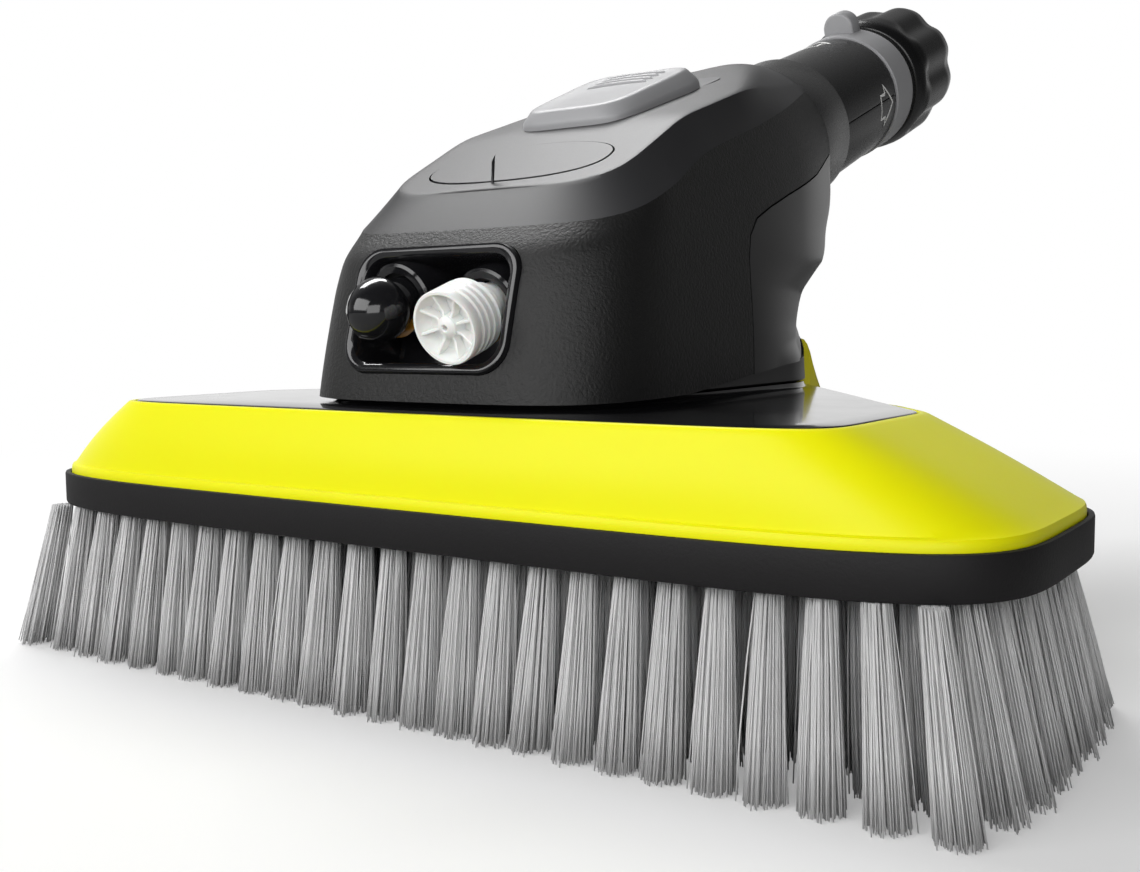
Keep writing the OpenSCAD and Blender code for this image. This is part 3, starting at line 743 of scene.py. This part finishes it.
def plan_point(u, hw, front, rear, blunt=2.6):
    """Plan of the housing, once round from the left flank by the front: blunt nose, rounder tail."""
    turn, flank = 0.46, 0.04
    if u <= turn:
        return polar_superellipse(math.pi * (1 + u / turn), hw, FRONT_MID - front, 4, FRONT_MID)
    if u <= turn + flank:
        return hw, mix(FRONT_MID, REAR_MID, (u - turn) / flank)
    if u <= 2 * turn + flank:
        return polar_superellipse(math.pi * (u - turn - flank) / turn, hw, rear - REAR_MID, blunt, REAR_MID)
    return -hw, mix(REAR_MID, FRONT_MID, (u - 2 * turn - flank) / flank)


def pinch(p):
    """Draws a point of the housing in to the neck that ends in the round rear rim."""
    s = settings()
    lance = pinch.lance
    q = pinch.back @ p
    ahead = max(RIM_T - q.z, 0)
    reach = s.rim_r + NECK_FLARE * ahead
    core = min(max(q.y, 0), lookup(ahead, NECK_DROP))
    off = Vector((q.x, q.y - core))
    r = off.length
    near = 1 - ease(ahead, 0, 13)
    wanted = mix(soft_min(r, reach, 2.0), reach, near)
    if r > 1e-6:
        off *= wanted / r
    return lance @ Vector((off.x, core + off.y, q.z))


def roof(y):
    """Roof height, with the break in its slope rounded."""
    return sum(lookup(y + k, ROOF_LINE) for k in range(-4, 5)) / 9


def wall_ends(u):
    """Crease point of a column and the heights of its foot and its chamfer."""
    s = settings()
    cx, cy = plan_point(u, side_width(112) - s.chamfer_w, -6, 140)
    low = roof(cy) - s.chamfer_h
    foot_y = plan_point(u, side_width(66), lookup(66, FRONT_LINE), lookup(66, REAR_LINE), 2.0)[1]
    return cx, cy, low, lookup(foot_y, HEM_LINE)


def wall_point(u, v):
    low, foot = wall_ends(u)[2:]
    z = mix(foot, low, v)
    x, y = plan_point(u, side_width(z), smooth_line(z, FRONT_LINE), smooth_line(z, REAR_LINE),
                      lookup(z, REAR_POWER))
    flare = 1.3 * (1 - ease(z, foot, foot + 5)) * ease(y, 52, 70)
    out = Vector((x / side_width(z), (y - REAR_MID) / 60, 0)).normalized() * flare
    return pinch(Vector((x, y, z)) + out)


def smooth_line(x, table):
    return sum(lookup(x + 0.7 * k, table) for k in range(-4, 5)) / 9


def top_point(u, v):
    """Chamfer up to v = 0.3, then the crowned roof in to its middle line."""
    cx, cy = wall_ends(u)[:2]
    edge = wall_point(u, 1)
    crease = Vector((cx, cy, roof(cy)))
    if v <= 0.3:
        return edge.lerp(pinch(crease), v / 0.3)
    w = (v - 0.3) / 0.7
    crown = (0.5 + lookup(cy, CROWN_LINE)) * min(abs(cx) / 20, 1) * (1 - (1 - w) ** 2)
    return pinch(Vector((cx * (1 - w), cy, roof(cy) + crown)))


def rear_cut(bm):
    """Cuts a skin off square at the rear rim of the neck."""
    rim = lance_matrix(RIM_T)
    return cut_off(bm, rim.translation, rim.col[2].to_3d())


WINDOW_X, WINDOW_Y, WINDOW_Z = -1.2, -22.6, 79.2
WINDOW_HW, WINDOW_HH, WINDOW_R = 21.2, 13.4, 6.5


def window_matrix():
    """Local -Y leaves the front face squarely and local Z runs up it."""
    return shifted(WINDOW_X, WINDOW_Y, WINDOW_Z) @ spun(-15.5, "X")


def wall_skin():
    return rear_cut(sheet(300, 60, wall_point))


def behind_seam(shift):
    """The outline, in y and z, of what lies behind the joint of the two shells."""
    return [(y + shift, z - shift) for y, z in SEAM_LINE] + [(170, 30), (38.5 + shift, 30)]


def cut_at_seam(bm, shift, keep_behind):
    outline = behind_seam(shift)
    score(bm, list(zip(outline, outline[1:]))[:len(SEAM_LINE) - 1], lambda p: Vector((0, p[0], p[1])),
          Vector((1, 0, 0)), lambda c: True)
    return drop_faces(bm, lambda c: inside((c.y, c.z), outline) != keep_behind)


def open_window(bm):
    m = window_matrix()
    back = m.inverted()
    outline = round_rect(WINDOW_HW, WINDOW_HH, WINDOW_R)
    score(bm, list(pairs_round(outline)), lambda p: m @ Vector((p[0], 0, p[1])),
          m.col[1].to_3d().normalized(), lambda c: c.y < 0, reach=2.5)

    def in_window(c):
        q = back @ c
        return c.y < 0 and inside((q.x, q.z), outline)
    return drop_faces(bm, in_window)


def outward(bm):
    """Turns an open skin's faces away from the middle of the housing."""
    bmesh.ops.recalc_face_normals(bm, faces=bm.faces)
    vote = sum(f.normal.dot(f.calc_center_median() - Vector((0, 45, 95))) * f.calc_area() for f in bm.faces)
    if vote < 0:
        bmesh.ops.reverse_faces(bm, faces=bm.faces)
    return bm


def roof_skin():
    """The roof and its chamfer in one skin, with the crease between them rounded."""
    return outward(soften(rear_cut(sheet(300, 34, top_point)), 0.9, 18, 3))


BADGE_Y, BADGE_HW, BADGE_HH, BADGE_GAP, BADGE_LIFT, BADGE_WALL = 6.2, 23.3, 9.2, 0.44, 0.15, 1.1


def cut_badge(bm, grow, keep_inside):
    """Cuts the lens of the badge out of the roof, or keeps nothing but the lens."""
    outline = [superellipse(math.tau * k / 64 + 1e-4, BADGE_HW + grow, BADGE_HH + grow, 2.3, 2.3, BADGE_Y)
               for k in range(64)]
    score(bm, list(pairs_round(outline)), lambda p: Vector((p[0], p[1], 0)), Vector((0, 0, 1)),
          lambda c: c.y < 24, reach=2.0)
    return drop_faces(bm, lambda c: inside((c.x, c.y), outline) != keep_inside)


class BRUSH_OT_housing(bpy.types.Operator):
    """Front housing, rear cover, top cover and base collar"""
    bl_idname = "wash_brush.housing"
    bl_label = "Housing shells"

    def execute(self, context):
        s, f = settings(), finishes()
        pinch.lance = lance_matrix()
        pinch.back = pinch.lance.inverted()
        front = outward(open_window(cut_at_seam(wall_skin(), -0.17, False)))
        rear = outward(cut_at_seam(wall_skin(), 0.17, True))
        top = cut_badge(roof_skin(), BADGE_GAP / 2, False)
        thicken(piece("front_shell", front, HOUSING, f.textured, ["front_housing"]), s.wall)
        thicken(piece("rear_shell", rear, HOUSING, f.satin, ["rear_cover"]), s.wall)
        thicken(piece("top_shell", top, HOUSING, f.top, ["top_cover"]), s.wall)

        def collar_top(u):
            return lookup(pedestal_point(u, 0, 0).y, ((30, 64), (80, 67.5), (90, 73)))
        rings = [lambda u: pedestal_point(u, -4, 61.6), lambda u: pedestal_point(u, 0.3, 61.6),
                 lambda u: pedestal_point(u, 0.7, 61.9)]
        for k in range(1, 7):
            rings.append(lambda u, k=k: pedestal_point(u, 0.7 - 0.3 * math.sin(k / 6 * math.pi / 2),
                                                       mix(61.9, collar_top(u), k / 6)))
        rings.append(lambda u: pedestal_point(u, -4, collar_top(u)))
        piece("foot_collar", band(240, rings), HOUSING, f.satin, ["base_collar"])
        return {"FINISHED"}


# ------------------------------------------------------------------ window and nozzles

FOAM_TIP, FAN_TIP = (9.6, -31.5, 75.4), (-12.4, -32.2, 77)
NOZZLE_TILT = 19


def nozzle_matrix(tip):
    """Local Z leaves the nozzle and the origin is at its orifice."""
    return shifted(*tip) @ spun(90 + NOZZLE_TILT, "X")


def outline_ring(outline, depth):
    """A ring of the window frame: an outline in its plane, set back by depth."""
    count = len(outline)

    def place(u):
        x, z = outline[round(u * count) % count]
        return Vector((x, depth, z))
    return place


class BRUSH_OT_window(bpy.types.Operator):
    """Glossy frame and tray of the nozzle window"""
    bl_idname = "wash_brush.window"
    bl_label = "Nozzle window"

    def execute(self, context):
        def rr(grow, radius):
            return round_rect(WINDOW_HW + grow, WINDOW_HH + grow, radius, 10)
        steps = ((-0.15, 6.4, 2.5), (-0.15, 6.4, -0.5), (-0.35, 6.2, -1.0), (-0.8, 5.8, -1.15),
                 (-1.4, 5.4, -1.1), (-2.2, 4.8, -0.5), (-2.5, 4.5, 0.4), (-2.7, 4.3, 4), (-3.0, 4.0, 13.2),
                 (-3.6, 3.6, 13.8))
        rings = [outline_ring(rr(g, r), d) for g, r, d in steps]
        count = len(rr(0, 5))
        tray = sheet(count, len(rings) - 1, lambda u, v: rings[round(v * (len(rings) - 1))](u))
        back = [e for e in tray.edges if e.is_boundary and e.verts[0].co.y > 13]
        bmesh.ops.holes_fill(tray, edges=back, sides=0)
        bmesh.ops.recalc_face_normals(tray, faces=tray.faces)
        if sum(f.normal.y * f.calc_area() for f in tray.faces if f.calc_center_median().y > 13) > 0:
            bmesh.ops.reverse_faces(tray, faces=tray.faces)
        m = window_matrix()
        obj = piece("window_frame", tray, HOUSING, finishes().gloss, ["window_bezel"], m, 50)
        thicken(obj, 1.0)
        return {"FINISHED"}


def foam_nozzle():
    """Cup with grooved rim, eight vanes and a centre boss on a stem with sealing collars."""
    r = 7.5
    grooves = []
    for k in range(4):
        z = -1.2 - 1.75 * k
        grooves += [(r, z), (r, z - 0.85), (r - 0.55, z - 1.0), (r - 0.55, z - 1.6)]
    cup = turned([(1.0, -3.4), (2.0, -3.6), (5.6, -3.4), (6.2, -2.6), (6.55, -0.3), (6.8, 0), (r - 0.2, 0),
                  (r, -0.3)] + grooves + [(r - 0.1, -8.6), (r - 0.8, -9.3), (5.2, -9.6), (4.6, -10.2),
                                          (3.9, -10.6), (3.9, -12), (5.0, -12.2), (5.0, -13.4), (3.9, -13.6),
                                          (3.9, -30), (0.0, -30)], 96)
    boss = turned([(0.55, -2.0), (0.55, -0.35), (0.8, -0.2), (1.5, -0.35), (2.1, -0.9), (2.5, -3.6),
                   (0.55, -3.6), (0.55, -2.0)], 48)
    vanes = []
    for k in range(8):
        vane = prism([(1.6, -3.5), (6.2, -3.5), (6.5, -0.5), (5.6, -0.7), (3.2, -1.5), (1.7, -1.1)],
                     -0.3, 0.3)
        moved(vane, spun(45 * k + 12) @ spun(90, "X"))
        vanes.append(soften(vane, 0.12, 30, 1))
    return joined(cup, boss, *vanes)


def half_dome(side, x, lift):
    """One side of the nozzle's dome, cut off upright at x."""
    dome = turned([(0, 0.4), (1.6, 0.25), (3.1, -0.4), (4.5, -1.6), (5.6, -3.2), (6.3, -5.0),
                   (6.6, -7.0), (6.6, -8.8), (6.2, -9.4), (0, -9.4)])
    return moved(closed(cut_off(dome, (x, 0, 0), (side, 0, 0))), shifted(0, 0, lift))


def fan_nozzle():
    """Dome with an upright slit to one side, beyond which a lower crescent is left."""
    core = turned([(0, -4.6), (3.4, -4.6), (4.6, -5.6), (5.2, -8.8), (4.4, -9.8), (4.4, -30), (0, -30)], 96)
    return joined(core, half_dome(-1, -1.7, 0), half_dome(1, -2.9, -0.5))


class BRUSH_OT_nozzles(bpy.types.Operator):
    """Foam nozzle, fan nozzle, the sockets behind them, and yellow clips darkened to amber as painted shade"""
    bl_idname = "wash_brush.nozzles"
    bl_label = "Nozzles"

    def execute(self, context):
        f = finishes()
        piece("foam_cup", foam_nozzle(), HOUSING, f.white, ["foam_nozzle"],
              nozzle_matrix(FOAM_TIP))
        piece("fan_dome", fan_nozzle(), HOUSING, f.gloss, ["fan_nozzle"],
              nozzle_matrix(FAN_TIP))
        sleeves, shaded_yellow_rings = [], []
        for tip in (FOAM_TIP, FAN_TIP):
            sleeve = turned([(5.6, -14), (7.0, -14), (7.5, -14.5), (7.5, -33), (2.5, -33), (2.5, -31),
                             (5.6, -31), (5.6, -14)], 64)
            sleeves.append(moved(sleeve, nozzle_matrix(tip)))
            # Yellow clip round the nozzle stem; its amber colour is painted shade.
            shaded_yellow = turned([(5.8, -13.9), (5.8, -10.6), (7.3, -10.6), (7.3, -13.9), (5.8, -13.9)], 24,
                           math.radians(110))
            shaded_yellow_rings.append(moved(shaded_yellow, nozzle_matrix(tip) @ spun(-145)))
        piece("nozzle_sockets", joined(*sleeves), HOUSING, f.gloss, ["nozzle_carrier"])
        # The clips take the yellow plastic darkened to amber as painted shade.
        piece("amber_clips", joined(*shaded_yellow_rings), HOUSING, f.shaded_yellow)
        return {"FINISHED"}


# ------------------------------------------------------------------- slider and badge

SLOPE_Y, SLOPE_Z = 25, 120.5
SLOPE = 19.2
SLIDER_RISE = 0.009


def slope_matrix():
    return shifted(0, SLOPE_Y, SLOPE_Z) @ spun(SLOPE, "X")


def slider_outline(u, inset):
    """Plan of the slider: narrower and rounder at the front."""
    t = math.tau * u + 1e-4
    x, y = superellipse(t, 1, 1, 5, 5)
    y_mid, half = 20, 21
    width = mix(15.2, 16.9, (y + 1) / 2)
    return x * (width - inset), y_mid + y * (half - inset)


class BRUSH_OT_slider(bpy.types.Operator):
    """Grey mode slider on the roof"""
    bl_idname = "wash_brush.slider"
    bl_label = "Mode slider"

    def execute(self, context):
        steps = ((0.4, -0.5), (0, -0.4), (0, 1.0), (0.1, 1.5), (0.3, 1.9), (1.9, 3.7), (2.2, 3.95),
                 (2.7, 4.1), (3.7, 4.15), (4.9, 4.1), (5.7, 4.0))

        def lifted(u, i, z):
            x, y = slider_outline(u, i)
            return Vector((x, y, z * (1 + SLIDER_RISE * (y + 1)) if z > 0 else z))
        rings = [lambda u, i=i, z=z: lifted(u, i, z) for i, z in steps]
        body = band(200, rings)
        ridges = []
        for k in range(4):
            def ridge(u, v, y0=24.0 + 3.2 * k):
                a = math.tau * u
                x = mix(-8.6, 8.6, v)
                ends = math.sqrt(max(1 - (2 * v - 1) ** 8, 0.0004))
                bow = 1.6 * (1 - (x / 9) ** 2)
                y = y0 + bow + 0.75 * math.cos(a) * ends
                return Vector((x, y, 3.9 * (1 + SLIDER_RISE * (y + 1)) + 0.75 * math.sin(a) * ends))
            ridges.append(closed(sheet(16, 28, ridge)))
        stem = block(-2.7, 2.7, 10, 18, -9, -0.3)

        def pocket_edge(u, i, z):
            return Vector((*superellipse(math.tau * u + 1e-4, 15.8 - i, 9.5 - i, 5, 3, 43), z))
        pocket = band(120, [lambda u, i=i, z=z: pocket_edge(u, i, z)
                            for i, z in ((0, -1.2), (0, 0.35), (0.5, 0.4), (9, 0.4))])
        piece("pocket_floor", pocket, HOUSING, finishes().inner, (), slope_matrix())
        piece("slider_cap", joined(body, *ridges, stem), SLIDER, finishes().grey,
              ["mode_slider"], slope_matrix(), 40)
        return {"FINISHED"}


class BRUSH_OT_badge(bpy.types.Operator):
    """Blank lens-shaped badge on the front of the roof"""
    bl_idname = "wash_brush.badge"
    bl_label = "Badge"

    def execute(self, context):
        lens = cut_badge(roof_skin(), -BADGE_GAP / 2, True)
        moved(lens, shifted(0, 0, BADGE_LIFT))
        obj = piece("badge_lens", lens, HOUSING, finishes().top, ["badge_plate"])
        thicken(obj, BADGE_WALL)
        return {"FINISHED"}


# ----------------------------------------------------------------------------- lance

def half_tube(turn):
    s = settings()
    r, w, length, draft = s.tube_r, 2.4, -SEAM_T, 0.6
    profile = [(r - w, 0.1), (r - 0.25, 0.1), (r, 0.35), (r - draft, length - 0.3),
               (r - draft - 0.25, length - 0.05), (r - w - draft, length - 0.05), (r - w, 0.1)]
    half = turned(profile, 64, math.radians(179.2))
    return moved(soften(half, 0.12, 60, 2), spun(turn + 0.4))


def cap_radius(z):
    return lookup(z, ((0, 19.6), (1, 20.6), (3, 21.4), (8, 22), (29, 22), (34, 21.2), (37.5, 19.8),
                      (39.4, 18.2), (40, 16.6)))


def cap_point(u, v):
    """Grip cap with shallow scoops that run out at its front shoulder."""
    z = 40 * v
    r = sum(cap_radius(z + 0.5 * k) for k in range(-2, 3)) / 5
    lobe = (0.5 + 0.5 * math.cos(8 * math.tau * u)) ** 2
    r -= 1.7 * ease(z, 4, 11) * (1 - 0.45 * ease(z, 32, 40)) * lobe
    a = math.tau * u
    return Vector((r * math.cos(a), r * math.sin(a), z))


def mark_loop(points, width):
    """Printed outline on the tube: a closed line of arc and height pairs, as a thin raised strip."""
    r = settings().tube_r - 0.45
    centre = Vector((sum(p[0] for p in points), sum(p[1] for p in points))) / len(points)
    outer = [Vector(p) for p in points]
    inner = [c.lerp(centre, width / max((c - centre).length, 1e-6)) for c in outer]

    def on_tube(p, lift):
        a = p.x / r
        return Vector(((r + lift) * math.sin(a), -(r + lift) * math.cos(a), p.y))
    bm = bmesh.new()
    low = [bm.verts.new(on_tube(p, 0.06)) for p in outer]
    high = [bm.verts.new(on_tube(p, 0.06)) for p in inner]
    for k in range(len(points)):
        n = (k + 1) % len(points)
        bm.faces.new((low[k], low[n], high[n], high[k]))
    bmesh.ops.subdivide_edges(bm, edges=bm.edges, cuts=3, use_grid_fill=True)
    for v in bm.verts:
        flat = Vector((v.co.x, v.co.y))
        flat *= (r + 0.06) / flat.length
        v.co.x, v.co.y = flat
    bmesh.ops.solidify(bm, geom=bm.faces[:], thickness=0.08)
    bmesh.ops.recalc_face_normals(bm, faces=bm.faces)
    return bm


class BRUSH_OT_lance(bpy.types.Operator):
    """Collar, tube halves, printed marks, selector ring, ribs and grip cap"""
    bl_idname = "wash_brush.lance"
    bl_label = "Lance"

    def execute(self, context):
        f = finishes()
        m = lance_matrix()
        collar = turned([(17.6, RIM_T - 6), (21.5, RIM_T - 6), (21.5, SEAM_T - 1.0), (21.3, SEAM_T - 0.5),
                         (20.9, SEAM_T - 0.1), (17.6, SEAM_T - 0.1), (17.6, RIM_T - 6)], 128)
        piece("lance_sleeve", collar, HOUSING, f.tube, ["lance_collar"], m)
        piece("tube_shell_upper", half_tube(180), HOUSING, f.tube, ["tube_upper"],
              lance_matrix(SEAM_T))
        piece("tube_shell_lower", half_tube(0), HOUSING, f.tube, ["tube_lower"],
              lance_matrix(SEAM_T))
        arrow = [(-4, -14), (4, -14), (4, -10), (7, -10), (0, -3.5), (-7, -10), (-4, -10)]
        marks = joined(mark_loop([(x - 3, y) for x, y in arrow], 0.9),
                       moved(mark_loop(arrow, 0.9), spun(95)))
        piece("printed_marks", marks, HOUSING, f.ink, (), m)
        ring = turned([(17.1, 0.3), (19.7, 0.3), (20, 0.6), (20, 14.2), (19.7, 14.6), (17.1, 14.6),
                       (17.1, 0.3)], 128)
        tab = prism([(18, -5), (22, -5)] + [(21.4 + 5 * math.cos(a), 5 * math.sin(a))
                    for a in (math.radians(-78 + 12 * k) for k in range(14))] + [(22, 5), (18, 5)], 7.2, 14.4)
        moved(soften(tab, 0.9, 40, 3), spun(-91))
        piece("selector_tab_ring", joined(ring, tab), SELECTOR, f.grey, ["selector_ring"], m)
        ribs = [(14.5, 0.0), (17.0, 0.0), (17.0, 15.05)]
        for k in range(3):
            z = 15.1 + 1.15 * k
            ribs += [(18.6, z), (19.6, z + 0.15), (19.6, z + 0.6), (18.6, z + 0.75)]
        ribs += [(18.6, 18.6), (14.5, 18.6), (14.5, 0.0)]
        piece("sleeve_ribs", turned(ribs, 128), HOUSING, f.tube, ["seal_rings"], m)
        cap = sheet(256, 48, cap_point)
        piece("scalloped_cap", soften(closed(cap), 0.5, 55, 2), HOUSING, f.tube, ["grip_cap"],
              lance_matrix(CAP_START))
        return {"FINISHED"}


# ----------------------------------------------------------------- inner and small parts

class BRUSH_OT_details(bpy.types.Operator):
    """Finishes of the small and inner parts that keep their engineered shape"""
    bl_idname = "wash_brush.details"
    bl_label = "Small parts"

    def execute(self, context):
        f = finishes()
        looks = {"cover_screws": f.steel, "lever_pin": f.steel, "lever_spring": f.steel, "valve_spool": f.white,
                 "valve_block": f.inner, "nozzle_seals": f.rubber, "feed_pipe": f.inner,
                 "bayonet_spigot": f.inner, "spigot_seal": f.rubber, "inlet_filter": f.white}
        for name, material in looks.items():
            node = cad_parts[name]
            for material_slot in node.material_slots:
                material_slot.material = material
        return {"FINISHED"}


# ----------------------------------------------------------------------------- stage

def area_light(name, place, aim, size, watts):
    """A softbox aimed at a point."""
    light = bpy.data.lights.new(name, "AREA")
    light.shape = "RECTANGLE"
    light.size, light.size_y = size
    light.energy = watts
    obj = bpy.data.objects.new(name, light)
    obj.location = place
    obj.rotation_euler = (Vector(aim) - Vector(place)).to_track_quat("-Z", "Y").to_euler()
    bpy.context.scene.collection.objects.link(obj)


def studio_world():
    """White backdrop whose light on the object comes from behind and above, dim towards the camera."""
    world = bpy.data.worlds.new("studio")
    world.use_nodes = True
    tree = world.node_tree
    tree.nodes.clear()
    way = add_node(tree, "ShaderNodeTexCoord").outputs["Generated"]
    away = add_node(tree, "ShaderNodeVectorMath", {"operation": "DOT_PRODUCT"})
    tree.links.new(way, away.inputs[0])
    away.inputs[1].default_value = (-0.72, 0.6, 0.35)
    level = add_node(tree, "ShaderNodeMapRange", {"From Min": 0.2, "From Max": 0.95, "To Min": 0.1,
                                                  "To Max": 1.0, "interpolation_type": "SMOOTHSTEP"},
                     value=away.outputs["Value"])
    height = add_node(tree, "ShaderNodeSeparateXYZ", vector=way).outputs["Z"]
    fall = add_node(tree, "ShaderNodeMapRange", {"From Min": 0.16, "From Max": 0.42, "To Min": 1.0,
                                                 "To Max": 0.3, "interpolation_type": "SMOOTHSTEP"},
                    value=height)
    dimmed = add_node(tree, "ShaderNodeMath", {"operation": "MULTIPLY"})
    tree.links.new(level.outputs["Result"], dimmed.inputs[0])
    tree.links.new(fall.outputs["Result"], dimmed.inputs[1])
    seen = add_node(tree, "ShaderNodeLightPath").outputs["Is Camera Ray"]
    strength = add_node(tree, "ShaderNodeMix", {"data_type": "FLOAT"})
    strength.inputs[3].default_value = 1.0
    tree.links.new(seen, strength.inputs[0])
    tree.links.new(dimmed.outputs["Value"], strength.inputs[2])
    background = add_node(tree, "ShaderNodeBackground", {"Color": (1, 1, 1, 1)}, strength=strength.outputs[0])
    add_node(tree, "ShaderNodeOutputWorld", surface=background.outputs["Background"])
    return world


def floor_board():
    """Matt white board. It throws little light back up, as if flags stood round the object, and runs
    out into the bright backdrop with distance."""
    mat = plastic("painted_board", hex_linear("#FAFAFA"), 0.8, 1.0, 0.001, 0.004)
    tree = mat.node_tree
    board = tree.nodes["Principled BSDF"].outputs["BSDF"]
    grey = add_node(tree, "ShaderNodeBsdfDiffuse", {"Color": (0.35, 0.35, 0.35, 1)}).outputs["BSDF"]
    backdrop = add_node(tree, "ShaderNodeEmission", {"Color": (1, 1, 1, 1)}).outputs["Emission"]
    place = add_node(tree, "ShaderNodeTexCoord").outputs["Object"]
    far = add_node(tree, "ShaderNodeVectorMath", {"operation": "LENGTH"}, vector=place).outputs["Value"]
    fade = add_node(tree, "ShaderNodeMapRange", {"From Min": 0.16, "From Max": 0.6, "To Min": 0.3,
                                                 "To Max": 1.0, "interpolation_type": "SMOOTHSTEP"},
                    value=far)
    seen = add_node(tree, "ShaderNodeLightPath").outputs["Is Camera Ray"]
    shown = add_node(tree, "ShaderNodeMixShader", fac=fade.outputs["Result"])
    both = add_node(tree, "ShaderNodeMixShader", fac=seen)
    for source, socket in ((board, shown.inputs[1]), (backdrop, shown.inputs[2]), (grey, both.inputs[1]),
                           (shown.outputs["Shader"], both.inputs[2]),
                           (both.outputs["Shader"], tree.nodes["Material Output"].inputs["Surface"])):
        tree.links.new(source, socket)
    return mat


# Place in metres; pan, pitch and roll in degrees.
LENS_MM, CAMERA_PLACE, CAMERA_TURN = 40.59, (0.1677, -0.2214, 0.0765), (34.23, 84.93, -0.5)


class BRUSH_OT_stage(bpy.types.Operator):
    """Pale floor, soft studio lights and the camera"""
    bl_idname = "wash_brush.stage"
    bl_label = "Stage"

    def execute(self, context):
        scene = context.scene
        bm = bmesh.new()
        bmesh.ops.create_grid(bm, x_segments=1, y_segments=1, size=6)
        mesh = bpy.data.meshes.new("studio_floor")
        bm.to_mesh(mesh)
        bm.free()
        floor = bpy.data.objects.new("studio_floor", mesh)
        scene.collection.objects.link(floor)
        mesh.materials.append(floor_board())
        # Keeps white and yellow as strong as they are.
        scene.view_settings.view_transform = "Standard"
        scene.world = studio_world()
        middle = (0, 0.04, 0.07)
        area_light("key_softbox", (-0.35, -1.3, 0.75), middle, (1.6, 1.0), 19)
        area_light("fill_softbox", (0.9, -1.2, 0.35), middle, (1.2, 0.8), 9)
        area_light("roof_softbox", (-0.56, 0.36, 0.98), middle, (0.8, 0.34), 9)
        camera = bpy.data.cameras.new("camera")
        camera.lens = LENS_MM
        obj = bpy.data.objects.new("camera", camera)
        pan, pitch, roll = CAMERA_TURN
        obj.matrix_world = shifted(*CAMERA_PLACE) @ spun(pan) @ spun(pitch, "X") @ spun(roll)
        scene.collection.objects.link(obj)
        scene.camera = obj
        return {"FINISHED"}


class BRUSH_PT_panel(bpy.types.Panel):
    """Lists the operators"""
    bl_label = "Wash Brush"
    bl_idname = "BRUSH_PT_panel"
    bl_space_type = "VIEW_3D"
    bl_region_type = "UI"
    bl_category = "Wash Brush"

    def draw(self, context):
        for operator in OPERATORS:
            self.layout.operator(operator.bl_idname)


OPERATORS = (BRUSH_OT_stage, BRUSH_OT_head, BRUSH_OT_bristles, BRUSH_OT_lever, BRUSH_OT_housing,
             BRUSH_OT_window, BRUSH_OT_nozzles, BRUSH_OT_slider, BRUSH_OT_badge, BRUSH_OT_lance,
             BRUSH_OT_details)
GROUPS = (BrushColours, BrushSizes)


def register():
    for cls in GROUPS + OPERATORS + (BRUSH_PT_panel,):
        bpy.utils.register_class(cls)
    bpy.types.Scene.brush_colours = PointerProperty(type=BrushColours)
    bpy.types.Scene.brush_sizes = PointerProperty(type=BrushSizes)


def unregister():
    del bpy.types.Scene.brush_sizes
    del bpy.types.Scene.brush_colours
    for cls in reversed(GROUPS + OPERATORS + (BRUSH_PT_panel,)):
        bpy.utils.unregister_class(cls)


def main():
    register()
    bpy.ops.wash_brush.stage()
    bpy.ops.wash_brush.head()
    bpy.ops.wash_brush.bristles()
    bpy.ops.wash_brush.lever()
    bpy.ops.wash_brush.housing()
    bpy.ops.wash_brush.window()
    bpy.ops.wash_brush.nozzles()
    bpy.ops.wash_brush.slider()
    bpy.ops.wash_brush.badge()
    bpy.ops.wash_brush.lance()
    bpy.ops.wash_brush.details()
    bpy.context.view_layer.update()


if __name__ == "__main__":
    main()
